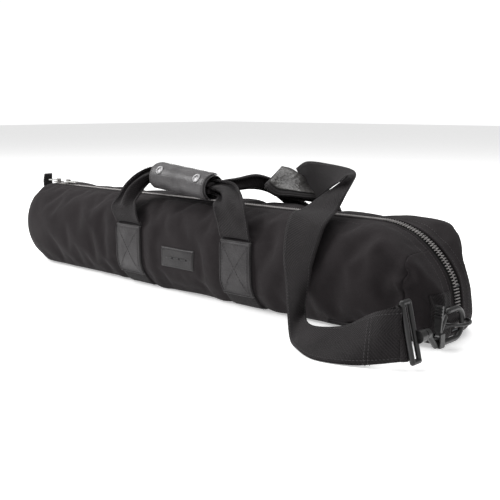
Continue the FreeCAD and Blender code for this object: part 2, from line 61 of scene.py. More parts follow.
# ---- camera, floor and light ---------------------------------------------------------------------
def set_camera():
    data = bpy.data.cameras.new("camera")
    cam = bpy.data.objects.new("camera", data)
    bpy.context.scene.collection.objects.link(cam)
    data.sensor_width, data.lens = 36.0, 58.46
    cam.location = (0.773, -0.7395, 0.237)
    pitch = math.radians(10)
    look = Vector((-0.6846 * math.cos(pitch), 0.729 * math.cos(pitch), -math.sin(pitch)))
    cam.rotation_euler = look.to_track_quat("-Z", "Y").to_euler()
    bpy.context.scene.camera = cam


def area_light(name, place, target, size, power):
    data = bpy.data.lights.new(name, "AREA")
    data.shape, data.size, data.size_y, data.energy = "RECTANGLE", size[0], size[1], power
    lamp = bpy.data.objects.new(name, data)
    lamp.location = place
    lamp.rotation_euler = (Vector(target) - Vector(place)).to_track_quat("-Z", "Y").to_euler()
    bpy.context.scene.collection.objects.link(lamp)


def set_light():
    area_light("key", (-1.3, -1.3, 1.5), (-0.15, 0, 0.05), (1.3, 1.1), 50)
    area_light("top", (-0.2, 0.5, 2.1), (0, 0, 0.05), (2.2, 1.4), 44)
    area_light("side", (2.0, -0.4, 0.9), (0.3, 0, 0.05), (0.6, 0.8), 4)
    world = bpy.data.worlds.new("studio")
    world.use_nodes = True
    tree = world.node_tree
    tree.nodes["Background"].inputs[0].default_value = (1, 1, 1, 1)
    path = tree.nodes.new("ShaderNodeLightPath")
    level = tree.nodes.new("ShaderNodeMapRange")
    level.inputs["To Min"].default_value, level.inputs["To Max"].default_value = 0.40, 1.05
    tree.links.new(path.outputs["Is Camera Ray"], level.inputs["Value"])
    tree.links.new(level.outputs[0], tree.nodes["Background"].inputs[1])
    bpy.context.scene.world = world
    bpy.context.scene.view_settings.view_transform = "Standard"


# ---- materials -----------------------------------------------------------------------------------
class Nodes:
    """A material's node tree, with short calls for the nodes used here."""

    def __init__(self, name):
        self.mat = bpy.data.materials.new(name)
        self.mat.use_nodes = True
        self.tree = self.mat.node_tree
        self.shader = self.tree.nodes["Principled BSDF"]

    def node(self, kind, **settings):
        made = self.tree.nodes.new(kind)
        for key, value in settings.items():
            if key in made.inputs:
                made.inputs[key].default_value = value
            else:
                setattr(made, key, value)
        return made

    def link(self, a, b):
        self.tree.links.new(a, b)

    def math(self, operation, a, b=None):
        made = self.node("ShaderNodeMath", operation=operation)
        for i, value in enumerate((a, b)):
            if value is None:
                continue
            if isinstance(value, (int, float)):
                made.inputs[i].default_value = value
            else:
                self.link(value, made.inputs[i])
        return made.outputs[0]

    def noise(self, scale, detail=3.0, vector=None):
        made = self.node("ShaderNodeTexNoise", Scale=scale, Detail=detail)
        self.link(vector or self.coords("Object"), made.inputs["Vector"])
        return made.outputs["Fac"]

    def coords(self, kind):
        return self.node("ShaderNodeTexCoord").outputs[kind]

    def ramp(self, value, low, high, a, b):
        made = self.node("ShaderNodeMapRange")
        for key, v in (("From Min", low), ("From Max", high), ("To Min", a), ("To Max", b)):
            made.inputs[key].default_value = v
        self.link(value, made.inputs["Value"])
        return made.outputs[0]

    def tint(self, value, dark, light):
        made = self.node("ShaderNodeMix", data_type="RGBA")
        made.inputs[6].default_value = (*dark, 1)
        made.inputs[7].default_value = (*light, 1)
        self.link(value, made.inputs[0])
        return made.outputs[2]

    def bump(self, heights):
        """Chained bumps from (height, strength, distance in metres)."""
        last = None
        for height, strength, distance in heights:
            made = self.node("ShaderNodeBump", Strength=strength, Distance=distance)
            self.link(height, made.inputs["Height"])
            if last:
                self.link(last, made.inputs["Normal"])
            last = made.outputs[0]
        self.link(last, self.shader.inputs["Normal"])

    def wave(self, value, pitch):
        """A 0 to 1 ridge that repeats every pitch of value."""
        turned = self.math("MULTIPLY", value, 2 * math.pi / pitch)
        return self.math("ADD", self.math("MULTIPLY", self.math("SINE", turned), 0.5), 0.5)

    def weave(self, pitch_u, pitch_v):
        """Plain weave over the UV map, whose units are metres."""
        split = self.node("ShaderNodeSeparateXYZ")
        self.link(self.coords("UV"), split.inputs[0])
        over = self.wave(split.outputs[0], pitch_u)
        across = self.wave(split.outputs[1], pitch_v)
        return self.math("MULTIPLY", over, across), split


def cloth_material(name, dark, light, pitch, rough, sheen):
    n = Nodes(name)
    weave, _ = n.weave(pitch, pitch)
    mottle = n.noise(22, 4)
    lint = n.noise(900, 2)
    shade = n.math("ADD", n.ramp(mottle, 0.3, 0.7, 0, 0.55), n.math("MULTIPLY", weave, 0.45))
    n.link(n.tint(shade, dark, light), n.shader.inputs["Base Color"])
    n.link(n.ramp(lint, 0.35, 0.65, rough - 0.08, rough + 0.08), n.shader.inputs["Roughness"])
    n.shader.inputs["Sheen Weight"].default_value = sheen
    n.shader.inputs["Sheen Roughness"].default_value = 0.5
    n.shader.inputs["Specular IOR Level"].default_value = 0.12
    n.bump([(weave, 0.35, 0.0003), (lint, 0.25, 0.0004), (n.noise(160, 3), 0.2, 0.0008)])
    return n.mat


def webbing_material(name, dark, light):
    """Ribbed webbing: fine cross ribs, and a herringbone that turns over across the width."""
    n = Nodes(name)
    ribs, split = n.weave(0.0021, 0.0016)
    slant = n.math("ABSOLUTE", n.math("SUBTRACT", split.outputs[0], 0.025))
    bone = n.wave(n.math("ADD", slant, split.outputs[1]), 0.0032)
    fuzz = n.noise(700, 3)
    shade = n.math("ADD", n.math("MULTIPLY", bone, 0.5), n.ramp(n.noise(30, 3), 0.3, 0.7, 0, 0.5))
    n.link(n.tint(shade, dark, light), n.shader.inputs["Base Color"])
    n.link(n.ramp(fuzz, 0.3, 0.7, 0.62, 0.82), n.shader.inputs["Roughness"])
    n.shader.inputs["Sheen Weight"].default_value = 0.03
    n.shader.inputs["Specular IOR Level"].default_value = 0.15
    n.bump([(bone, 0.55, 0.0005), (ribs, 0.4, 0.0004), (fuzz, 0.2, 0.0003)])
    return n.mat


def leather_material(name, dark, light, rough, grain=520, depth=0.0005):
    n = Nodes(name)
    cells = n.node("ShaderNodeTexVoronoi", Scale=grain)
    n.link(n.coords("Object"), cells.inputs["Vector"])
    wear = n.noise(45, 5)
    n.link(n.tint(n.ramp(wear, 0.35, 0.7, 0, 1), dark, light), n.shader.inputs["Base Color"])
    n.link(n.ramp(wear, 0.3, 0.7, rough + 0.08, rough - 0.06), n.shader.inputs["Roughness"])
    n.shader.inputs["Specular IOR Level"].default_value = 0.28
    n.bump([(cells.outputs["Distance"], 0.45, depth), (n.noise(1500, 2), 0.15, 0.0002), (wear, 0.2, 0.001)])
    return n.mat


def metal_material(name, colour, rough, metallic=1.0):
    n = Nodes(name)
    wear = n.noise(260, 5)
    fine = n.noise(2400, 2)
    darker = tuple(c * 0.72 for c in colour)
    n.link(n.tint(n.ramp(wear, 0.35, 0.65, 0, 1), darker, colour), n.shader.inputs["Base Color"])
    n.link(n.ramp(wear, 0.3, 0.7, rough + 0.1, rough - 0.05), n.shader.inputs["Roughness"])
    n.shader.inputs["Metallic"].default_value = metallic
    n.bump([(fine, 0.12, 0.0002), (wear, 0.1, 0.0004)])
    return n.mat


def make_materials():
    rows = [
        (cloth_material, "canvas", (0.0120, 0.0098, 0.0106), (0.0200, 0.0168, 0.0178), 0.0011, 0.85, 0.02),
        (cloth_material, "lining", (0.05, 0.05, 0.055), (0.08, 0.08, 0.085), 0.0008, 0.6, 0.03),
        (leather_material, "foam", (0.20, 0.21, 0.22), (0.26, 0.27, 0.28), 0.85, 900, 0.0006),
        (cloth_material, "zip_tape", (0.0035, 0.003, 0.0032), (0.008, 0.007, 0.0072), 0.0009, 0.75, 0.02),
        (metal_material, "zip_coil", (0.30, 0.285, 0.28), 0.34, 0.35),
        (cloth_material, "thread", (0.028, 0.027, 0.028), (0.075, 0.070, 0.072), 0.0004, 0.7, 0.05),
        (webbing_material, "webbing", (0.0050, 0.0040, 0.0044), (0.0165, 0.0142, 0.0150)),
        (leather_material, "patch_leather", (0.0225, 0.0205, 0.0215), (0.0360, 0.0335, 0.0345), 0.5),
        (leather_material, "label_leather", (0.0120, 0.0108, 0.0113), (0.0200, 0.0182, 0.0188), 0.42),
        (leather_material, "grip_leather", (0.043, 0.0405, 0.042), (0.074, 0.071, 0.0725), 0.42, 430),
        (metal_material, "snap_metal", (0.13, 0.128, 0.13), 0.34),
        (metal_material, "slider_metal", (0.30, 0.29, 0.28), 0.35),
        (metal_material, "pull_metal", (0.68, 0.68, 0.66), 0.28),
        (metal_material, "hook_metal", (0.0075, 0.0072, 0.0074), 0.32, 0.0),
        (cloth_material, "pad_fabric", (0.022, 0.020, 0.021), (0.038, 0.036, 0.036), 0.0012, 0.7, 0.03),
        (leather_material, "pad_rubber", (0.035, 0.033, 0.032), (0.075, 0.072, 0.07), 0.33, 230, 0.0014),
        (metal_material, "adjuster_plastic", (0.035, 0.035, 0.036), 0.4, 0.0),
    ]
    return {name: kind(name, *settings) for kind, name, *settings in rows}


# ---- the bag's surface ---------------------------------------------------------------------------
def smax(a, b, k):
    h = np.clip(k - np.abs(a - b), 0, None) / k
    return np.maximum(a, b) + h * h * k * 0.25


def step(x, a, b):
    t = np.clip((x - a) / (b - a), 0, 1)
    return t * t * (3 - 2 * t)


def hill(x, centre, width):
    return np.exp(-((x - centre) / width) ** 2)


def corner(a, b, ca, cb, radius):
    """Distance to a quarter-round corner whose sides run on as planes."""
    return np.hypot(np.maximum(a - ca, 0), np.maximum(b - cb, 0)) - radius


def inside(p):
    """Below zero inside the bag. p is an array of points."""
    x, y, z = p[:, 0], p[:, 1], p[:, 2]
    top = z > 60
    r = np.where(top, 48.0, 26.0)
    qy = np.abs(y) - (72.0 - r)
    qz = np.where(top, z - (118.0 - r), (1.6 + r) - z)
    section = np.hypot(np.maximum(qy, 0), np.maximum(qz, 0)) + np.minimum(np.maximum(qy, qz), 0) - r
    soft = 1.5 + 12 * step(x, 285, 345) + 12 * step(-x, 325, 365)
    f = smax(section, corner(x, z, 282.3, 17.4, 102.1), soft)
    f = smax(f, corner(x, -y, 350.0, 38.0, 34.0), soft)
    f = smax(f, corner(x, y, 302.0, -10.0, 82.0), soft)
    f = smax(f, np.hypot(np.maximum(-322.3 - x, 0), z - 59.8) - 58.7, soft)
    f = smax(f, np.hypot(np.maximum(-302.6 - x, 0), y) - 77.4, soft)
    ball = np.sqrt(np.maximum(-293.5 - x, 0) ** 2 + y ** 2 + (z - 59.8) ** 2) - 76.0
    f = smax(f, ball, 3.0)
    f = smax(f, 0.7004 * x + 0.6534 * y + 0.2874 * z - 291.9, 5.0)
    f -= 9 * hill(x, 335, 34) * hill(y, 44, 26) * hill(z, 100, 26)
    return f


def cast(origin, way, reach=170.0):
    """Where rays from inside the bag meet its surface."""
    low = np.zeros(len(origin))
    high = np.full(len(origin), reach)
    for _ in range(24):
        mid = (low + high) / 2
        within = inside(origin + way * mid[:, None]) < 0
        low = np.where(within, mid, low)
        high = np.where(within, high, mid)
    return origin + way * low[:, None]


def normals(p):
    out = np.zeros_like(p)
    for axis in range(3):
        d = np.zeros(3)
        d[axis] = 0.8
        out[:, axis] = inside(p + d) - inside(p - d)
    return out / np.linalg.norm(out, axis=1)[:, None]


FAR, NEAR, CAP, AXIS_Z = -300.0, 290.0, 120.0, 56.0


def spine(u):
    x = np.clip(u, FAR, NEAR)
    return np.stack([x, ZIP_Y * step(x, -100, 250), np.full_like(x, AXIS_Z)], 1)


def rays(u, v):
    """Origin and direction for u along the bag and v round it, in radians from the top towards the rear."""
    tip = np.where(u > NEAR, (u - NEAR) / CAP, np.where(u < FAR, (FAR - u) / CAP, 0)) * math.pi / 2
    sign = np.where(u > 0, 1.0, -1.0)
    way = np.stack([sign * np.sin(tip), np.cos(tip) * np.sin(v), np.cos(tip) * np.cos(v)], 1)
    return spine(u), way


def unwrap(p):
    """The (u, v) of points on the surface."""
    o = spine(p[:, 0])
    d = p - o
    v = np.arctan2(d[:, 1], d[:, 2])
    tip = np.arctan2(np.abs(d[:, 0]), np.hypot(d[:, 1], d[:, 2]))
    past = tip / (math.pi / 2) * CAP
    u = np.where(p[:, 0] > NEAR, NEAR + past, np.where(p[:, 0] < FAR, FAR - past, p[:, 0]))
    return u, v


def speckle(p, size, seed):
    """Smooth noise from -1 to 1 at points p, with lumps of about that size."""
    off = Vector((seed * 17.3, seed * 5.1, seed * 9.7))
    return np.array([noise.noise(Vector(q) / size + off) for q in p])


def slot_distance(p):
    """How far points are from the zip's channel, which runs along the top and down the opening end."""
    beside = np.maximum(np.abs(p[:, 1] - ZIP_Y) - REACH, 0)
    upper = (p[:, 2] > 60) | (p[:, 0] > 345)
    return np.where(upper & (p[:, 0] > -345), beside, 200.0)


def segment_distance(p, a, b):
    a, b = np.array(a, float), np.array(b, float)
    t = np.clip(((p - a) @ (b - a)) / ((b - a) @ (b - a)), 0, 1)
    return np.linalg.norm(p - a - t[:, None] * (b - a), axis=1)


# (start, end, depth, width) of creases, seen on the skin
CREASES = [
    ((350, -70, 66), (349, -74, 14), -3.4, 2.6),
    ((318, -64, 92), (352, -66, 74), -2.8, 5.5),
    ((352, -66, 74), (376, -50, 50), -3.2, 5.0),
    ((336, -70, 60), (350, -70, 68), 1.8, 6.0),
    ((300, -72, 70), (340, -70, 52), -1.4, 7.0),
    ((60, -72, 60), (20, -72, 92), -0.9, 9.0),
    ((-160, -72, 40), (-200, -71, 88), -0.9, 11.0),
    ((150, -73, 30), (176, -71, 88), -1.2, 10.0),
    ((262, -73, 30), (288, -70, 84), -1.2, 11.0),
    ((-250, -70, 30), (-290, -66, 80), -0.8, 12.0),
    ((210, 72, 35), (250, 70, 90), -1.1, 11.0),
    ((-40, 73, 30), (-10, 70, 88), -1.0, 12.0),
    ((-240, 72, 32), (-210, 68, 90), -1.0, 12.0),
]


def wrinkles(p):
    """How far the skin stands off its smooth shape."""
    beside = slot_distance(p)
    far_from_zip = step(beside, 0, 26)
    out = far_from_zip * (1.9 * speckle(p, 95, 1) + 1.0 * speckle(p, 42, 2) + 0.35 * speckle(p, 17, 3))
    puckers = speckle(p * np.array([1, 0.2, 1]), 7, 4)
    out += np.exp(-beside / 8) * 0.5 * puckers * step(beside, 0, 3)
    for start, end, depth, width in CREASES:
        d = segment_distance(p, start, end)
        out += depth * np.exp(-(d / width) ** 2) - 0.6 * depth * np.exp(-((d - 2 * width) / width) ** 2)
    low = step(-p[:, 2], -90, -84)
    for x in BANDS:
        gap = np.abs(p[:, 0] - x)
        pinch = np.exp(-(np.maximum(gap - WEB / 2, 0) / 5) ** 2)
        out += low * (-1.6 * pinch + 1.5 * np.exp(-((gap - 44) / 11) ** 2))
        under_band = np.where(gap < 26, 1.0, 0.0) * low
        out -= out * 0.75 * under_band
    base = step(-p[:, 2], -5, -2) * step(-np.abs(p[:, 1]), -50, -38)
    clear = np.minimum(step(np.abs(p[:, 0] - BANDS[0]), 27, 40), step(np.abs(p[:, 0] - BANDS[1]), 27, 40))
    return out * (1 - base) + base * 1.3 * clear * step(-p[:, 0], -365, -350) * step(p[:, 0], -325, -310)


SOFT = {"field": None}
INSET, MOST_PUFF = 1.3, 6.0       # how far in the cloth starts, and how far it may move
VOXEL, LAST_FRAME = 0.006, 20
STEP_U, STEP_V = 5.0, math.radians(4.5)
U_LOW, U_COUNT, V_COUNT = FAR - CAP, int(round((NEAR - FAR + 2 * CAP) / STEP_U)) + 1, 80


def sampled(field, u, v):
    """The simulated movement at (u, v), by cubic interpolation."""
    fu = np.clip((u - U_LOW) / STEP_U, 0, U_COUNT - 1.001)
    fv = (v / STEP_V) % V_COUNT
    iu, iv = np.floor(fu).astype(int), np.floor(fv).astype(int)
    tu, tv = fu - iu, fv - iv

    def weights(t):
        return [((2 - t) * t - 1) * t / 2, ((3 * t - 5) * t * t + 2) / 2,
                ((4 - 3 * t) * t + 1) * t / 2, (t - 1) * t * t / 2]
    wu, wv = weights(tu), weights(tv)
    out = np.zeros((len(u), 3))
    for i in range(4):
        for j in range(4):
            value = field[np.clip(iu + i - 1, 0, U_COUNT - 1), (iv + j - 1) % V_COUNT]
            out += (wu[i] * wv[j])[:, None] * value
    return out


def skin(origin, way):
    """Points and normals of the finished skin along rays."""
    p = cast(origin, way)
    n = normals(p)
    out = p + n * wrinkles(p)[:, None]
    if SOFT["field"] is not None:
        u, v = unwrap(p)
        out += sampled(SOFT["field"], u, v)
    return out, n


# ---- mesh helpers --------------------------------------------------------------------------------
def mesh(name, points, faces, material, uv=None):
    """An object from points in millimetres, with an optional UV in metres for each point."""
    data = bpy.data.meshes.new(name)
    data.from_pydata([tuple(p) for p in np.asarray(points, float) * MM], [], faces)
    data.validate()
    if uv is not None:
        layer = data.uv_layers.new(name="weave")
        index = np.zeros(len(data.loops), np.int32)
        data.loops.foreach_get("vertex_index", index)
        layer.data.foreach_set("uv", np.asarray(uv, np.float32)[index].ravel())
    data.materials.append(MATS[material])
    data.polygons.foreach_set("use_smooth", [True] * len(data.polygons))
    made = bpy.data.objects.new(name, data)
    bpy.context.scene.collection.objects.link(made)
    return made


def thick(faces, outer, inner):
    """Faces of a closed shell between two point sets that share their faces."""
    count = len(outer)
    used = {}
    for f in faces:
        for a, b in zip(f, f[1:] + f[:1]):
            used[(a, b)] = used.get((a, b), 0) + 1
    rim = [(a, b) for a, b in used if (b, a) not in used]
    made = list(faces) + [tuple(i + count for i in reversed(f)) for f in faces]
    made += [(b, a, a + count, b + count) for a, b in rim]
    return made, np.vstack([outer, inner])


def ring_faces(rows, sides, start=0):
    """Faces between rows of points that each close on themselves."""
    faces = []
    for i in range(rows - 1):
        for k in range(sides):
            n = (k + 1) % sides
            faces.append(tuple(start + at for at in (i * sides + k, i * sides + n, (i + 1) * sides + n,
                                                     (i + 1) * sides + k)))
    return faces


def rod_faces(rows, sides, start=0):
    """The same, with both ends closed."""
    ends = [tuple(start + k for k in reversed(range(sides))),
            tuple(start + (rows - 1) * sides + k for k in range(sides))]
    return ring_faces(rows, sides, start) + ends


def sheet_faces(rows, columns, turned=False):
    """Faces of an open grid of points. Turned, they face the other way."""
    second, fourth = (1, columns) if turned else (columns, 1)
    firsts = [i * columns + k for i in range(rows - 1) for k in range(columns - 1)]
    return [(a, a + second, a + columns + 1, a + fourth) for a in firsts]


def curve(points, counts):
    """Catmull-Rom through points, with a number of steps for each span."""
    pts = [np.array(p, float) for p in points]
    pts = [2 * pts[0] - pts[1]] + pts + [2 * pts[-1] - pts[-2]]
    out = []
    for count, a, b, c, d in zip(counts, pts, pts[1:], pts[2:], pts[3:]):
        for i in range(count):
            t = i / count
            out.append(0.5 * (2 * b + (c - a) * t + (2 * a - 5 * b + 4 * c - d) * t * t
                              + (3 * b - a - 3 * c + d) * t ** 3))
    return np.array(out + [pts[-2]])


def even_path(points, spacing):
    """The polyline resampled at even spacing, with its directions."""
    points = np.asarray(points, float)
    run = np.concatenate([[0], np.cumsum(np.linalg.norm(np.diff(points, axis=0), axis=1))])
    count = max(2, int(run[-1] / spacing))
    at = np.linspace(0, run[-1], count + 1)
    out = np.stack([np.interp(at, run, points[:, i]) for i in range(3)], 1)
    along = np.gradient(out, axis=0)
    return out, along / np.linalg.norm(along, axis=1)[:, None], run[-1]


def tube(name, path, radius, material, sides=8, spacing=2.5):
    """A round rod along a path."""
    p, t, _ = even_path(path, spacing)
    side = np.cross(t, np.array([0.13, 0.21, 0.97]))
    side /= np.linalg.norm(side, axis=1)[:, None]
    up = np.cross(side, t)
    points, uv = [], []
    for i in range(len(p)):
        for k in range(sides):
            a = 2 * math.pi * k / sides
            points.append(p[i] + radius * (math.cos(a) * side[i] + math.sin(a) * up[i]))
            uv.append((k * radius * MM * 0.8, i * spacing * MM))
    return mesh(name, points, rod_faces(len(p), sides), material, uv)


def stitches(name, lines, pitch=3.4, length=2.3, radius=0.32):
    """Short rounded threads along several lines of (points, normals)."""
    points, faces = [], []
    rings = ((-0.5, 0.35), (-0.3, 1.0), (0.3, 1.0), (0.5, 0.35))
    for path, outward in lines:
        p, t, _ = even_path(path, pitch)
        where = np.linspace(0, len(path) - 1, len(p))
        o = np.stack([np.interp(where, range(len(path)), np.asarray(outward)[:, i]) for i in range(3)], 1)
        for q, along, out in zip(p[:-1], t[:-1], o[:-1]):
            side = np.cross(along, out)
            side /= np.linalg.norm(side)
            start = len(points)
            for s, r in rings:
                for k in range(6):
                    a = math.pi / 3 * k
                    ring = side * math.cos(a) + out * math.sin(a) * 0.8
                    points.append(q + along * s * length + radius * r * ring + out * radius * 0.25)
            faces += rod_faces(len(rings), 6, start)
    return mesh(name, points, faces, "thread")


# ---- bag -----------------------------------------------------------------------------------------
def grid_rays(step_u, step_v):
    us = np.linspace(U_LOW, NEAR + CAP, int(round((NEAR + CAP - U_LOW) / step_u)) + 1)
    vs = np.arange(0, 2 * math.pi - 1e-6, step_v)
    u, v = np.meshgrid(us, vs, indexing="ij")
    return us, vs, u.ravel(), v.ravel()


def held_share(p):
    """How firmly each point is sewn or weighed down, from 0 to 1."""
    hold = np.exp(-(slot_distance(p) / 9) ** 2)
    band = np.min([np.abs(p[:, 0] - x) for x in BANDS], axis=0)
    under_band = np.exp(-(np.maximum(band - 22, 0) / 8) ** 2)
    hold = np.maximum(hold, np.where(p[:, 2] < 92, under_band, 0))
    hold = np.maximum(hold, np.exp(-((p[:, 0] - NEAR_SEAM) / 6) ** 2) * 0.8)
    label = np.hypot(np.maximum(np.abs(p[:, 0] - 21) - 30, 0),
                     np.maximum(np.abs(p[:, 2] - 49.5) - 12.5, 0))
    hold = np.maximum(hold, np.where(p[:, 1] < -60, np.exp(-(label / 9) ** 2) * 0.9, 0))
    return np.maximum(hold, step(-p[:, 2], -14, -4))


def positions(obj):
    """The object's points in millimetres, with its modifiers."""
    data = obj.evaluated_get(bpy.context.evaluated_depsgraph_get()).to_mesh()
    out = np.zeros(len(data.vertices) * 3)
    data.vertices.foreach_get("co", out)
    return out.reshape(-1, 3) / MM


def even_mesh(points, faces):
    """The closed surface through the points, remeshed so that all its edges are about as long."""
    rough = mesh("inflating_rough", points, faces, "canvas")
    even = rough.modifiers.new("even", "REMESH")
    even.mode, even.voxel_size = "VOXEL", VOXEL
    bpy.context.view_layer.update()
    data = bpy.data.meshes.new_from_object(rough.evaluated_get(bpy.context.evaluated_depsgraph_get()))
    bpy.data.objects.remove(rough)
    made = bpy.data.objects.new("inflating", data)
    bpy.context.scene.collection.objects.link(made)
    bpy.context.view_layer.update()
    return made


def inflate():
    """Cloth pass over the whole padded skin: seams are held, and the panels between them fill and wrinkle."""
    us, vs, u, v = grid_rays(STEP_U, STEP_V)
    shape, n = skin(*rays(u, v))
    start = shape - n * (INSET * (1 - held_share(shape)))[:, None]
    made = even_mesh(start, ring_faces(len(us), len(vs)))
    before = positions(made)
    held = made.vertex_groups.new(name="held")
    for i, share in enumerate(held_share(before)):
        if share > 0.02:
            held.add([i], float(min(share, 1.0)), "REPLACE")
    c = made.modifiers.new("cloth", "CLOTH").settings
    c.quality, c.mass, c.tension_stiffness, c.compression_stiffness = 5, 0.3, 12, 4
    c.shear_stiffness, c.bending_stiffness = 4, 2.5
    c.use_pressure, c.uniform_pressure_force = True, 4.0
    c.vertex_group_mass = "held"
    c.shrink_min = -0.02
    c.effector_weights.gravity = 0
    scene = bpy.context.scene
    for frame_number in range(1, LAST_FRAME + 1):
        scene.frame_set(frame_number)
    move = positions(made) - before
    scene.frame_set(1)
    bpy.data.objects.remove(made)
    length = np.linalg.norm(move, axis=1)[:, None]
    move *= np.minimum(1, MOST_PUFF / np.maximum(length, 1e-6))
    tree = KDTree(len(before))
    for i, point in enumerate(before):
        tree.insert(point, i)
    tree.balance()
    field = np.zeros_like(start)
    for i, point in enumerate(start):
        found = tree.find_n(point, 5)
        share = np.array([1 / (f[2] + 0.5) for f in found])
        field[i] = (move[[f[1] for f in found]] * share[:, None]).sum(0) / share.sum()
    return (start + field - shape).reshape(len(us), len(vs), 3)


class Cut:
    """The skin's grid, cut by planes so that each panel has clean edges."""

    def __init__(self):
        us, vs, u, v = grid_rays(2.5, math.radians(2.25))
        p, _ = skin(*rays(u, v))
        self.bm = bmesh.new()
        for q in p:
            self.bm.verts.new(q)
        self.bm.verts.ensure_lookup_table()
        for f in ring_faces(len(us), len(vs)):
            self.bm.faces.new([self.bm.verts[i] for i in f])
        bmesh.ops.remove_doubles(self.bm, verts=self.bm.verts, dist=0.05)
        self.bm.normal_update()
        planes = [(0, x) for x in (-340, FAR_SEAM, NEAR_SEAM, 384)]
        planes += [(1, y) for y in (-BASE_Y, ZIP_Y - REACH, ZIP_Y, ZIP_Y + REACH, BASE_Y)]
        planes += [(2, z) for z in (12, BASE_Z, MOUTH_Z)]
        for axis, at in planes:
            place, normal = [0, 0, 0], [0, 0, 0]
            place[axis], normal[axis] = at, 1
            geometry = self.bm.verts[:] + self.bm.edges[:] + self.bm.faces[:]
            bmesh.ops.bisect_plane(self.bm, geom=geometry, dist=0.02, plane_co=place, plane_no=normal)
        self.bm.normal_update()
        self.bm.verts.index_update()
        self.points = np.array([v.co for v in self.bm.verts])
        self.outward = np.array([v.normal for v in self.bm.verts])
        if (self.outward * (self.points - [0, 0, 60])).sum() < 0:
            self.outward = -self.outward
        self.faces = [tuple(v.index for v in f.verts) for f in self.bm.faces]
        self.centres = np.array([self.points[list(f)].mean(0) for f in self.faces])
        first = self.faces[len(self.faces) // 2]
        a, b, c = self.points[list(first[:3])]
        if np.cross(b - a, c - b) @ self.outward[first[0]] < 0:
            self.faces = [tuple(reversed(f)) for f in self.faces]
        self.bm.free()

    def panel(self, name, where, outer, inner, material, base=False):
        """A closed shell between two depths, of the faces whose centres pass where(x, y, z)."""
        chosen = where(*self.centres.T)
        kept = [f for f, ok in zip(self.faces, chosen) if ok]
        used = sorted({i for f in kept for i in f})
        at = {old: new for new, old in enumerate(used)}
        kept = [tuple(at[i] for i in f) for f in kept]
        p, n = self.points[used], self.outward[used]
        faces, points = thick(kept, p - n * outer, p - n * inner)
        u, v = unwrap(p)
        uv = np.stack([u, p[:, 1] if base else v * AROUND], 1) * MM
        return mesh(name, points, faces, material, np.vstack([uv, uv]))


def in_slot(x, y, z):
    return (np.abs(y - ZIP_Y) < REACH) & (x > -340) & (z > 12) & ((z > 60) | (x > 300))


def attach(piece, moves):
    """A piece is parented to the bag's root, or, on the rear upper side where the soft mouth opens, left
    unparented with its transform baked into its points.
    """
    if moves:
        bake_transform(piece)
    else:
        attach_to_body(piece, "root")


def make_bag():
    cut = Cut()
    far = lambda x, y, z: x < FAR_SEAM
    front = lambda x, y, z: (y < ZIP_Y) & (x > FAR_SEAM)
    rear = lambda x, y, z: (y > ZIP_Y) & (x > FAR_SEAM)
    upper = lambda x, y, z: rear(x, y, z) & (z > MOUTH_Z)
    lower = lambda x, y, z: rear(x, y, z) & (z < MOUTH_Z)
    base = lambda x, y, z: (np.abs(y) < BASE_Y) & (z < BASE_Z) & (x > FAR_SEAM) & (x < NEAR_SEAM)
    side = lambda x, y, z: ~base(x, y, z) & (x < NEAR_SEAM)
    skin_depth, foam_depth, lining_depth = (0, SKIN_T), (SKIN_T, FOAM_END), (FOAM_END, LINING_END)
    rows = [
        ("bag_far_cap", "far_end_cap", skin_depth, "canvas", False, far),
        ("bag_base", "base_panel", skin_depth, "canvas", False, base),
        ("bag_front_panel", "front_panel", skin_depth, "canvas", False,
         lambda x, y, z: front(x, y, z) & side(x, y, z)),
        ("bag_rear_lower", "rear_panel", skin_depth, "canvas", False,
         lambda x, y, z: lower(x, y, z) & side(x, y, z)),
        ("bag_rear_upper", "end_flap_shell", skin_depth, "canvas", True, upper),
        ("bag_near_end", "near_end_panel", skin_depth, "canvas", False,
         lambda x, y, z: (x > NEAR_SEAM) & ~upper(x, y, z)),
        ("foam_far", "far_end_foam", foam_depth, "foam", False, far),
        ("foam_front", "front_foam", foam_depth, "foam", False, front),
        ("foam_rear_lower", "rear_foam", foam_depth, "foam", False, lower),
        ("foam_rear_upper", "end_flap_foam", foam_depth, "foam", True, upper),
        ("lining_body", "body_lining", lining_depth, "lining", False, lambda x, y, z: ~upper(x, y, z)),
        ("lining_upper", "end_flap_lining", lining_depth, "lining", True, upper),
    ]
    for name, node, depth, material, moves, where in rows:
        chosen = lambda x, y, z: where(x, y, z) & ~in_slot(x, y, z)
        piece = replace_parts(cut.panel(name, chosen, *depth, material, base=name == "bag_base"), node)
        attach(piece, moves)


def zip_line(y, start=-340.0, end_z=12.0, spacing=2.0):
    """Points and normals of the skin along the bag at one y, over the top and down the opening end."""
    xs = np.arange(start, 290.0, 4.0)
    turn = np.radians(np.arange(0, 150, 1.5))
    origin = np.zeros((len(xs) + len(turn), 3))
    way = np.zeros_like(origin)
    origin[:len(xs), 0], way[:len(xs), 2] = xs, 1.0
    origin[len(xs):, 0] = 290.0
    way[len(xs):, 0], way[len(xs):, 2] = np.sin(turn), np.cos(turn)
    origin[:, 1], origin[:, 2] = y, AXIS_Z
    p = cast(origin, way)
    kept = (p[:, 2] > end_z) | (p[:, 0] < 300)
    p, _, _ = even_path(p[kept], spacing)
    n = normals(p)
    n[:, 1] *= 0.2
    return p, n / np.linalg.norm(n, axis=1)[:, None]


def split_line(p, rear):
    """Parts of a zip line that stay with the bag, and on the rear the part above the mouth's fold, which is
    left unparented.
    """
    upper = p[:, 2] > MOUTH_Z
    if not rear:
        return [("", np.ones(len(p), bool), False)]
    return [("_upper", upper, True), ("_lower", ~upper, False)]


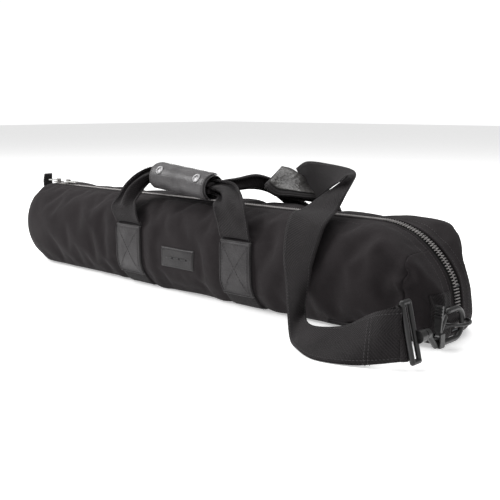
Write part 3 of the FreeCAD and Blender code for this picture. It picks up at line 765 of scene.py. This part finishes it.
def strip(name, y0, y1, depth, thickness, material, rear):
    """A band between two ys along the zip line."""
    columns, spacing = 5, 3.0
    wide = (y1 - y0) / (columns - 1)
    lines = [zip_line(y0 + (y1 - y0) * k / (columns - 1), spacing=spacing)[0] for k in range(columns)]
    count = min(len(p) for p in lines)
    fine = [even_path(p, 1.0)[0] for p in lines]
    level = [p[np.linspace(0, len(p) - 1, count).astype(int)] for p in fine]
    made = []
    for suffix, chosen, moves in split_line(level[0], rear):
        rows = np.where(chosen)[0]
        outer, inner, uv = [], [], []
        for i in rows:
            for k in range(columns):
                p = level[k][i]
                n = normals(p[None, :])[0]
                outer.append(p - n * depth)
                inner.append(p - n * (depth + thickness))
                uv.append((k * wide * MM, i * spacing * MM))
        faces, points = thick(sheet_faces(len(rows), columns), np.array(outer), np.array(inner))
        piece = mesh(name + suffix, points, faces, material, uv + uv)
        attach(piece, moves)
        made.append(piece)
    return made


# (distance from the middle line, half width, half height) along a tooth, from its root to its head
TOOTH = ((4.9, 0.4, 0.3), (4.3, 0.62, 1.0), (1.9, 0.6, 0.75), (0.5, 0.8, 1.15), (-0.6, 0.5, 0.6))


def teeth(name, rear):
    """One side's row of moulded teeth: each is a bar with a rounded head that reaches over the middle."""
    p, n = zip_line(ZIP_Y, spacing=1.6)
    side = 1.0 if rear else -1.0
    made = []
    for suffix, chosen, moves in split_line(p, rear):
        points, faces = [], []
        for i in np.where(chosen)[0][(1 if rear else 0)::2]:
            if i + 1 >= len(p) or i < 1:
                continue
            along = (p[i + 1] - p[i - 1]) / np.linalg.norm(p[i + 1] - p[i - 1])
            out = np.cross(along, [0, 1, 0])
            out *= np.sign(out @ n[i])
            start = len(points)
            for y, wide, high in TOOTH:
                for a in range(6):
                    t = math.pi / 3 * a
                    q = p[i] + along * wide * math.cos(t) * 0.95 + out * (0.45 + high * math.sin(t))
                    points.append(q + np.array([0, side * y, 0]))
            faces += rod_faces(len(TOOTH), 6, start)
        piece = mesh(name + suffix, points, faces, "zip_coil")
        attach(piece, moves)
        made.append(piece)
    return made


def make_zip():
    gap, under = 1.6, 1.5             # from the zip's middle to the tape, and how far it runs under the hem
    front_tape = strip("zip_tape_front_cloth", ZIP_Y - REACH - under, ZIP_Y - gap, 1.2, 0.9, "zip_tape",
                       False)
    rear_tape = strip("zip_tape_rear_cloth", ZIP_Y + gap, ZIP_Y + REACH + under, 1.2, 0.9, "zip_tape", True)
    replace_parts(front_tape[0], "zip_tape_front")
    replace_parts(rear_tape[0], "zip_tape_flap")
    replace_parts(rear_tape[1], "zip_tape_rear")
    front_teeth = teeth("zip_teeth_front", False)
    rear_teeth = teeth("zip_teeth_rear", True)
    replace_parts(front_teeth[0], "zip_coil_front")
    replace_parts(rear_teeth[0], "zip_coil_flap")
    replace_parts(rear_teeth[1], "zip_coil_rear")
    for tag, way, rear in (("front", -1, False), ("rear", 1, True)):
        y = ZIP_Y + way * REACH
        p, n = zip_line(y, spacing=2.5)
        for suffix, chosen, moves in split_line(p, rear):
            attach(tube("hem_" + tag + suffix, p[chosen] - n[chosen] * 0.4, 1.25, "canvas"), moves)
        for offset, row in ((3.2, "edge"), (13.5, "top")):
            q, m = lifted(*zip_line(y + way * offset, spacing=2.0))
            for suffix, chosen, moves in split_line(q, rear):
                attach(stitches("stitch_" + row + "_" + tag + suffix, [(q[chosen], m[chosen])]), moves)


def lifted(p, n):
    """The same line on the finished skin, with its wrinkles."""
    u, v = unwrap(p)
    q, _ = skin(*rays(u, v))
    return q, n


# ---- webbing, patches and label ------------------------------------------------------------------
def on_skin(name, origins, ways, shape, offset, thickness, material, uv, rim=0.35, crown=0.0):
    """A thin piece lying on the skin: a grid of rays, lifted by offset, with its edges turned down."""
    p, n = skin(origins, ways)
    rows, columns = shape
    i, j = np.divmod(np.arange(rows * columns), columns)
    edge = np.minimum(np.minimum(i, rows - 1 - i), np.minimum(j, columns - 1 - j))
    high = np.select([edge == 0, edge == 1], [rim, 0.85], 1.0)
    a = np.minimum(i, rows - 1 - i) / (rows / 2)
    b = np.minimum(j, columns - 1 - j) / (columns / 2)
    lift = offset + thickness * high + crown * np.clip(a * b * 3, 0, 1)
    outer, inner = p + n * lift[:, None], p + n * (offset - 0.2)
    faces = sheet_faces(rows, columns, turned=True)
    a, b, d = outer[0], outer[1], outer[columns]
    if np.cross(b - a, d - a) @ n[0] < 0:
        faces = [tuple(reversed(f)) for f in faces]
    faces, points = thick(faces, outer, inner)
    return mesh(name, points, faces, material, np.vstack([uv, uv]))


def face_grid(x0, x1, z0, z1, way, spacing=2.0):
    """Rays through the bag's front or rear over a rectangle of x and z."""
    xs = np.linspace(x0, x1, int((x1 - x0) / spacing) + 1)
    zs = np.linspace(z0, z1, int((z1 - z0) / spacing) + 1)
    x, z = (g.ravel() for g in np.meshgrid(xs, zs, indexing="ij"))
    origin = np.stack([x, np.zeros_like(x), z], 1)
    ways = np.tile([0.0, way, 0.0], (len(x), 1))
    return origin, ways, (len(xs), len(zs)), np.stack([x - x0, z - z0], 1) * MM


def face_line(points, way, lift):
    """A line of (x, z) points carried onto the front or rear face, and lifted off it."""
    flat = np.array([(x, 0, z) for x, z in points], float)
    path, _, _ = even_path(flat, 1.5)
    p, n = skin(path, np.tile([0.0, way, 0.0], (len(path), 1)))
    return p + n * lift, n


def box_line(x0, x1, z0, z1):
    return [(x0, z0), (x1, z0), (x1, z1), (x0, z1), (x0, z0)]


PATCH = (24.5, 19, 83)            # half width, and the heights of its lower and upper edges
LABEL = (-9, 51, 37, 62)


def make_patch(name, x, way):
    """A crowned leather patch over a band, sewn round its edge and across its diagonals."""
    half, low, high = PATCH
    grid = face_grid(x - half, x + half, low, high, way)
    piece = on_skin(name + "_leather", *grid[:3], 1.6, 1.5, "patch_leather", grid[3], crown=0.7)
    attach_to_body(piece, "root")
    box = box_line(x - half + 4, x + half - 4, low + 4, high - 4)
    lines = [face_line(box, way, 3.9)] + [face_line([box[k], box[k + 2]], way, 4.0) for k in (0, 1)]
    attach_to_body(stitches(name + "_stitch", lines, pitch=3.6, length=2.5, radius=0.36), "root")
    rim, _ = face_line(box_line(x - half + 0.9, x + half - 0.9, low + 0.9, high - 0.9), way, 3.0)
    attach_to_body(tube(name + "_rim", rim, 0.75, "patch_leather", spacing=2.0), "root")
    return piece


def make_bands():
    for x, tag in zip(BANDS, ("far", "near")):
        xs = np.linspace(x - WEB / 2, x + WEB / 2, 15)
        vs = np.radians(np.linspace(-65, -295, 156))
        a, v = (g.ravel() for g in np.meshgrid(xs, vs, indexing="ij"))
        uv = np.stack([a - x + WEB / 2, v * AROUND], 1) * MM
        band = on_skin("band_" + tag, *rays(a, v), (len(xs), len(vs)), 0.0, 1.6, "webbing", uv, rim=0.5)
        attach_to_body(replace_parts(band, "webbing_band_" + tag), "root")
        lines = [lifted_rays(x + s * 22.8, vs) for s in (-1, 1)]
        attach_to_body(stitches("band_stitch_" + tag, lines), "root")
        front, rear = (make_patch("patch_%s_%s" % (side, tag), x, way)
                       for side, way in (("front", -1.0), ("rear", 1.0)))
        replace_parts(front, "patch_front_" + tag)
        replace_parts(rear, "rear_patches")
    grid = face_grid(*LABEL, -1.0, 1.5)
    label = on_skin("label_leather_patch", *grid[:3], 0.0, 1.4, "label_leather", grid[3], crown=0.3)
    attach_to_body(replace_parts(label, "label"), "root")
    edge = face_line(box_line(-6.6, 48.6, 39.4, 59.6), -1.0, 1.75)
    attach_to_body(stitches("label_stitch", [edge], pitch=2.6, length=1.8, radius=0.26), "root")
    for k, (x0, x1) in enumerate(((3, 13), (16.5, 25.5), (29, 39))):
        line, _ = face_line([(x0, 49.5), (x1, 49.5)], -1.0, 1.75)
        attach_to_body(tube("label_emboss_%d" % k, line, 1.1, "label_leather", spacing=1.2), "root")


def lifted_rays(x, vs):
    p, n = skin(*rays(np.full(len(vs), float(x)), vs))
    return p + n * 1.75, n


def grid_normals(grid):
    n = np.cross(np.gradient(grid, axis=0), np.gradient(grid, axis=1))
    return n / np.linalg.norm(n, axis=2)[:, :, None]


FOLDS, DEEPEST_FOLD = 1.5, 7.5


def ribbon(name, stations, thickness, material, columns=13, spacing=4.0, crumple=0.0, size=18.0, camber=0.0,
           puff=None, shift=0.0, seed=1, woven=0.0):
    """Webbing through pairs of edge points: the object, its grid of points, their normals and its length.

    Where its edges come nearer than the woven width, it folds lengthwise instead of narrowing.
    """
    counts = [max(2, int(np.linalg.norm((np.array(b[0]) + b[1] - np.array(a[0]) - a[1]) / 2) / spacing))
              for a, b in zip(stations, stations[1:])]
    left, right = (curve([s[side] for s in stations], counts) for side in (0, 1))
    span = np.linalg.norm(right - left, axis=1)
    rows = len(left)
    t = np.linspace(0, 1, columns)
    grid = left[:, None, :] * (1 - t)[None, :, None] + right[:, None, :] * t[None, :, None]
    if camber:
        grid = grid + grid_normals(grid) * (camber * 4 * t * (1 - t))[None, :, None]
    n = grid_normals(grid)
    if crumple:
        fade = np.minimum(np.arange(rows), rows - 1 - np.arange(rows)) * spacing
        bump = speckle(grid.reshape(-1, 3), size, seed).reshape(rows, columns)
        grid = grid + n * (bump * crumple * np.clip(fade / 14, 0, 1)[:, None])[:, :, None]
    if woven:
        slack = np.sqrt(np.clip((woven / span) ** 2 - 1, 0, None))
        depth = np.minimum(slack * span / (2 * math.pi * FOLDS) * 1.55, DEEPEST_FOLD)
        fold = np.sin(2 * math.pi * FOLDS * t)[None, :] * np.sin(math.pi * t)[None, :] ** 0.4
        grid = grid + n * (fold * depth[:, None])[:, :, None]
        n = grid_normals(grid)
    profile = puff(t) if puff else np.where((t == 0) | (t == 1), 0.4, 1.0)
    half = n * (profile * thickness / 2)[None, :, None]
    grid = grid + n * shift
    run = np.concatenate([[0], np.cumsum(np.linalg.norm(np.diff(grid.mean(1), axis=0), axis=1))])
    uv = np.stack(np.broadcast_arrays(t[None, :] * span.mean(), run[:, None]), 2).reshape(-1, 2) * MM
    outer, inner = ((grid + side * half).reshape(-1, 3) for side in (-1, 1))
    faces, points = thick(sheet_faces(rows, columns), outer, inner)
    return mesh(name, points, faces, material, np.vstack([uv, uv])), grid, n, run[-1]


def edge_stitch(name, grid, n, thickness, inset=0.06):
    lines = []
    for t in (inset, 1 - inset):
        k = int(round(t * (grid.shape[1] - 1)))
        for side in (-1, 1):
            lines.append((grid[:, k] + side * n[:, k] * (thickness / 2 + 0.1), side * n[:, k]))
    return stitches(name, lines, pitch=3.6, length=2.4, radius=0.3)


# ---- handles and grip ----------------------------------------------------------------------------
LEGS = {
    "handle_leg_front_far": [((-100, -73, 87), (-50, -73, 87)), ((-104, -77, 104), (-52, -77, 102)),
                             ((-98, -70, 122), (-62, -70, 116)), ((-86, -54, 146), (-66, -54, 128)),
                             ((-72, -36, 157), (-70, -36, 138)), ((-56, -33, 156), (-56, -33, 138))],
    "handle_leg_front_near": [((98, -73, 87), (148, -73, 87)), ((97, -77, 104), (147, -77, 104)),
                              ((88, -74, 122), (134, -68, 128)), ((74, -56, 126), (98, -46, 146)),
                              ((60, -38, 128), (66, -36, 148)), ((46, -33, 129), (47, -33, 147))],
    "handle_leg_rear_far": [((-100, 73, 87), (-50, 73, 87)), ((-98, 73, 104), (-52, 73, 106)),
                            ((-90, 48, 132), (-54, 48, 134)), ((-80, 10, 141), (-62, 10, 152)),
                            ((-60, -22, 141), (-55, -22, 154))],
    "handle_leg_rear_near": [((98, 73, 87), (148, 73, 87)), ((96, 73, 104), (134, 73, 101)),
                             ((78, 56, 120), (106, 60, 116)), ((66, 26, 132), (85, 22, 148)),
                             ((48, -22, 131), (50, -22, 145))],
}


def make_legs():
    for k, (name, stations) in enumerate(sorted(LEGS.items())):
        leg, grid, n, long = ribbon(name + "_web", stations, 2.0, "webbing", columns=25, spacing=3.0,
                                    crumple=1.6, size=18, camber=1.0, seed=k + 3, woven=WEB)
        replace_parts(leg, name)
        for piece in (leg, edge_stitch(name + "_stitch", grid, n, 2.4)):
            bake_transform(piece)


GRIP_A, GRIP_B = np.array([-56.0, -33.0, 147.0]), np.array([48.0, -33.0, 137.5])
GRIP_MIDDLE, GRIP_LENGTH = (GRIP_A + GRIP_B) / 2, float(np.linalg.norm(GRIP_B - GRIP_A))
ALONG, ACROSS = (GRIP_B - GRIP_A) / GRIP_LENGTH, np.array([0.0, 1.0, 0.0])
ABOVE = np.cross(ALONG, ACROSS)


def round_grip(angle):
    """The direction off the grip's axis, from the rear over the top, in radians."""
    return ACROSS * math.cos(angle) + ABOVE * math.sin(angle)


def wrap(name, radius, thickness, start, end, length, wobble, seed=7):
    """Leather rolled about the grip's axis between two angles, in degrees from the rear over the top."""
    rows, columns = 53, 45
    xs = np.linspace(-length / 2, length / 2, rows)
    angles = np.radians(np.linspace(start, end, columns))
    outer, inner, uv = [], [], []
    for i, x in enumerate(xs):
        for j, a in enumerate(angles):
            out = round_grip(a)
            edge = min(i, rows - 1 - i, j, columns - 1 - j)
            high = (0.4, 0.85)[edge] if edge < 2 else 1.0
            waver = wobble * noise.noise(Vector((x / 15 + seed, a * 2.1, seed))) if end - start < 359 else 0
            flare = 0.8 * (abs(x) / (length / 2)) ** 6
            base = GRIP_MIDDLE + ALONG * x
            squeeze = 1 + 0.03 * math.cos(2 * a)
            outer.append(base + out * (radius * squeeze + thickness * high + waver + flare))
            inner.append(base + out * (radius * squeeze + waver + flare))
            uv.append((x * MM, a * radius * MM))
    faces, points = thick(sheet_faces(rows, columns, turned=True), np.array(outer), np.array(inner))
    return mesh(name, points, faces, "grip_leather", uv + uv)


def wrap_line(radius, points):
    """A line over the wrapped leather, from (position, degrees) pairs."""
    flat, _, _ = even_path([(x, a * radius * math.pi / 180, 0) for x, a in points], 1.2)
    p, n = [], []
    for x, s, _ in flat:
        a = s / radius
        out = round_grip(a)
        p.append(GRIP_MIDDLE + ALONG * x + out * radius * (1 + 0.03 * math.cos(2 * a)))
        n.append(out)
    return np.array(p), np.array(n)


def lathe(name, profile, place, axis, material, sides=36):
    """A turned piece from (radius, height) pairs along an axis."""
    axis = np.array(axis, float) / np.linalg.norm(axis)
    side = np.cross(axis, [1.0, 0.2, 0.1])
    side /= np.linalg.norm(side)
    other = np.cross(axis, side)
    points = []
    for r, h in profile:
        for k in range(sides):
            a = 2 * math.pi * k / sides
            points.append(np.array(place) + axis * h + r * (side * math.cos(a) + other * math.sin(a)))
    ends = [tuple(range(sides)), tuple(reversed([(len(profile) - 1) * sides + k for k in range(sides)]))]
    return mesh(name, points, ring_faces(len(profile), sides) + ends, material)


# (radius, height) of a snap's cap, from its skirt to its middle
CAP_PROFILE = [(5.0, -0.4), (6.3, 0.0), (6.5, 0.7), (6.1, 1.3), (5.1, 1.45), (4.6, 1.15), (3.4, 1.5),
               (1.6, 1.85), (0.2, 1.9)]


def make_grip():
    sleeve = wrap("grip_inner_wrap", 14.0, 2.0, -95, 265, GRIP_LENGTH, 0.0)
    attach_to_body(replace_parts(sleeve, "grip_sleeve"), "grip")
    flap = wrap("grip_outer_wrap", 16.3, 2.1, 70, 240, GRIP_LENGTH - 2, 0.5)
    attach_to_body(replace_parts(flap, "grip_flap"), "grip_flap")
    half = GRIP_LENGTH / 2 - 4.5
    loop = wrap_line(18.75, [(-half, 76), (half, 76), (half, 232), (-half, 232), (-half, 76)])
    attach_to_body(stitches("grip_stitch", [loop], pitch=3.4, length=2.4, radius=0.34), "grip_flap")
    out = round_grip(math.radians(145))
    caps = []
    for k, x in enumerate((-35.0, 35.0)):
        place = GRIP_MIDDLE + ALONG * x + out * 18.0
        caps.append(lathe("snap_cap_%d" % k, CAP_PROFILE, place, out, "snap_metal"))
        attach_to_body(caps[-1], "grip_flap")
    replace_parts(caps[0], "snap_caps")
    for tag, height in (("rear", 4.0), ("front", -4.0)):
        bases = [GRIP_MIDDLE + ALONG * x + ABOVE * height for x in (-54.0, -20.0, 20.0, 54.0)]
        stations = [(base - ACROSS * 10.5, base + ACROSS * 10.5) for base in bases]
        core, _, _, _ = ribbon("handle_core_%s_web" % tag, stations, 5.6, "webbing", columns=15, crumple=0.4)
        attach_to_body(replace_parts(core, "handle_core_" + tag), "grip")


# ---- strap, pad and fittings ---------------------------------------------------------------------
def upright(points):
    """Webbing on edge: its lower edge's points, each with the one above it."""
    return [((x, y, z), (x, y, z + WEB)) for x, y, z in points]


STRAP_NEAR = [
    ((386, -128, 8), (386, -128, 58)), ((370, -139, 5), (368, -132, 54)), ((352, -148, 2), (346, -122, 44)),
    ((330, -156, 1.4), (316, -117, 27)), ((305, -158, 1.4), (284, -117, 20)),
    ((278, -145, 1.4), (258, -104, 18)),
    ((251, -124, 2), (238, -83, 24)), ((232, -106, 20), (238, -79.5, 42)), ((214, -88, 48), (243, -80.5, 62)),
    ((204, -81, 84), (247, -82, 76)), ((200, -66, 119), (252, -70, 112)),
    ((199, -42, 125), (249, -44, 128)), ((211, -27, 138), (251, -32, 144)),
    ((232, -24, 153), (244, -12, 153)), ((243, -20, 163), (229, 16, 162)),
    ((212, 8, 153), (201, 42, 165)), ((183, 28, 141), (162, 54, 168)),
    ((157, 45, 127), (119, 63, 169)), ((137, 56, 118), (88, 78, 158))]
STRAP_FAR = upright([(-364.9, 114, 8), (-346, 128, 4), (-326, 138, 0.6), (-302, 139, 0.6)]) + [
    ((-262, 136, 1.6), (-268, 112, 40)), ((-232, 132, 1.6), (-236, 84, 12)),
    ((-205, 134, 1.6), (-205, 84, 1.6)),
    ((100, 134, 1.6), (100, 84, 1.6)), ((116, 132, 4), (140, 92, 3)), ((116, 116, 14), (158, 106, 12))]
PAD = [((86, 54, 160), (98, 8, 141)), ((96, 60, 157), (108, 14, 131)), ((109, 72, 144), (126, 30, 128)),
       ((116, 90, 124), (154, 68, 120)), ((112, 102, 94), (158, 91, 92)), ((112, 100, 46), (160, 92, 50)),
       ((114, 102, 18), (162, 94, 20))]


# how the strap's end passes round each strap loop
TURN_NEAR = [((391, -128, 9), (380, -128, 60)), ((392.5, -124, 9), (381.5, -124, 60)),
             ((390, -120.6, 9), (379, -120.6, 60)), ((384, -122.5, 8.5), (378, -122.5, 58.5))]
TURN_FAR = [((-369.9, 113, 9), (-358.9, 113, 60)), ((-371.4, 109, 9), (-360.4, 109, 60)),
            ((-368.9, 105.6, 9), (-357.9, 105.6, 60)), ((-362.9, 107.5, 8.5), (-356.9, 107.5, 58.5))]


def make_run(tag, stations, nodes, crumple, size, seed):
    """One length of the shoulder strap, with its sewn edges."""
    run, grid, n, long = ribbon("strap_" + tag, stations, 1.6, "webbing", spacing=3.5, crumple=crumple,
                                size=size, seed=seed)
    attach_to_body(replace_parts(run, *nodes), "root")
    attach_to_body(edge_stitch("strap_%s_selvedge" % tag, grid, n, 1.6), "root")


def make_strap():
    make_run("near", STRAP_NEAR, ("strap_near_floor", "strap_riser", "strap_top_loop"),
             0.8, 40, 11)
    turned_end("near", STRAP_NEAR, TURN_NEAR, 1)
    turned_end("far", STRAP_FAR, TURN_FAR, -1)
    make_run("far", STRAP_FAR, ("strap_rear_run", "strap_far_run"), 0.7, 45, 12)


def turned_end(tag, strap, turn, way):
    """The strap's end passes round the loop's bar and is sewn back onto itself."""
    back = []
    for pair, lift in zip(strap[1:3], (2.0, 1.9)):
        back.append(tuple(tuple(np.array(edge, float) + [0, way * lift, 0]) for edge in pair))
    lap, grid, n, _ = ribbon("strap_%s_turn" % tag, [strap[0]] + turn + back, 1.5, "webbing", spacing=2.0)
    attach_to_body(lap, "root")
    lines = [(row + n[-4] * s, n[-4] * np.sign(s)) for row in (grid[-4], grid[-6]) for s in (-4.2, 4.2)]
    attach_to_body(stitches("strap_%s_turn_stitch" % tag, lines, pitch=3.2), "root")


def drawn_in(pairs, share):
    """Edge pairs brought towards each other by a share of the width."""
    ends = [(np.array(a), np.array(b)) for a, b in pairs]
    return [(tuple(a * (1 - share) + b * share), tuple(a * share + b * (1 - share))) for a, b in ends]


def make_pad():
    plump = lambda t: np.clip(1 - np.abs(2 * t - 1) ** 4, 0.12, 1) ** 0.5
    pad, grid, _, _ = ribbon("shoulder_pad_body", PAD, 10.0, "pad_fabric", columns=21, spacing=3.0,
                             crumple=1.0, size=26, puff=plump, seed=21)
    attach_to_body(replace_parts(pad, "shoulder_pad"), "root")
    face, _, _, _ = ribbon("pad_grip_skin", drawn_in(PAD, 0.1), 2.2, "pad_rubber", columns=21, spacing=3.0,
                           crumple=1.0, size=26, puff=plump, shift=-4.6, seed=21)
    under, _, _, long = ribbon("strap_under_pad", drawn_in(PAD, 0.05), 1.5, "webbing", crumple=0.4, shift=6.4,
                               seed=21)
    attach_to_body(under, "root")
    for k, column in enumerate((0, -1)):
        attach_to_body(tube("pad_piping_%d" % k, grid[:, column], 1.7, "pad_fabric", spacing=2.5), "root")
    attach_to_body(tube("pad_piping_end", grid[0], 2.2, "pad_fabric", spacing=2.5), "root")
    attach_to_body(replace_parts(face, "pad_grip_face"), "root")


def make_fittings():
    names = {"zip_slider_a": "slider_metal", "zip_slider_b": "slider_metal", "zip_pull_a": "pull_metal",
             "zip_pull_b": "pull_metal", "snap_studs": "snap_metal", "strap_adjuster": "adjuster_plastic"}
    for end in ("near", "far"):
        for part in ("d_ring", "strap_loop", "hook_body", "hook_gate", "gate_pin"):
            names[end + "_" + part] = "hook_metal"
    for node, material in names.items():
        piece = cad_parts[node]
        piece.data.materials.clear()
        piece.data.materials.append(MATS[material])


def mirrored(p):
    """A point of the near end's fittings, carried to the far end."""
    shift, side = 21.2, -15.0
    return shift - p[0], side - p[1], p[2]


def make_tabs():
    for tag, flip in (("near", False), ("far", True)):
        ys = np.linspace(-58, -24.5, 16)
        zs = np.linspace(6, 56, 26)
        y, z = (g.ravel() for g in np.meshgrid(ys, zs, indexing="ij"))
        origin = np.stack([np.full_like(y, 250.0), y, z], 1)
        way = np.tile([1.0, 0.0, 0.0], (len(y), 1))
        if flip:
            origin = np.array([mirrored(p) for p in origin])
            way = -way
        uv = np.stack([y + 58, z], 1) * MM
        tab = on_skin(tag + "_tab_web", origin, way, (len(ys), len(zs)), 0.0, 1.6, "webbing", uv)
        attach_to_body(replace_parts(tab, tag + "_tab"), "root")
        turn = [(383.5, 38), (386.0, 34.5), (389.6, 32.6), (390.5, 30), (389.6, 27.4), (386.0, 25.5),
                (383.5, 22)]
        stations = [((x, -52, z), (x, -25.5, z)) for x, z in turn]
        if flip:
            stations = [(mirrored(a), mirrored(b)) for a, b in stations]
        loop, _, _, _ = ribbon(tag + "_tab_loop", stations, 1.2, "webbing", spacing=1.5)
        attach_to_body(loop, "root")
    tab, grid, n, _ = ribbon("far_pull_tab_leather", [((-351, -20, 101), (-351, -4, 101)),
                                                      ((-355, -20, 118), (-355, -4, 118)),
                                                      ((-353, -19, 132), (-353, -5, 132))],
                             2.8, "label_leather", columns=9, spacing=2.0, crumple=0.8, size=9, seed=31)
    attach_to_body(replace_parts(tab, "far_pull_tab"), "root")
    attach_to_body(edge_stitch("far_pull_tab_stitch", grid, n, 2.8, inset=0.13), "root")


def make_floor():
    n = Nodes("floor_paint")
    n.link(n.tint(n.noise(3, 2), (0.90, 0.90, 0.90), (0.93, 0.93, 0.93)), n.shader.inputs["Base Color"])
    n.shader.inputs["Roughness"].default_value = 0.7
    n.shader.inputs["Emission Color"].default_value = (1, 1, 1, 1)
    n.shader.inputs["Emission Strength"].default_value = 0.42
    MATS["floor_paint"] = n.mat
    size = 9000
    corners = [(-size, -size, 0), (size, -size, 0), (size, size, 0), (-size, size, 0)]
    mesh("floor", corners, [(0, 1, 2, 3)], "floor_paint")


# ---- build ---------------------------------------------------------------------------------------
MATS = make_materials()
set_camera()
set_light()
make_floor()
SOFT["field"] = inflate()
make_bag()
make_zip()
make_bands()
make_legs()
make_grip()
make_strap()
make_pad()
make_fittings()
make_tabs()
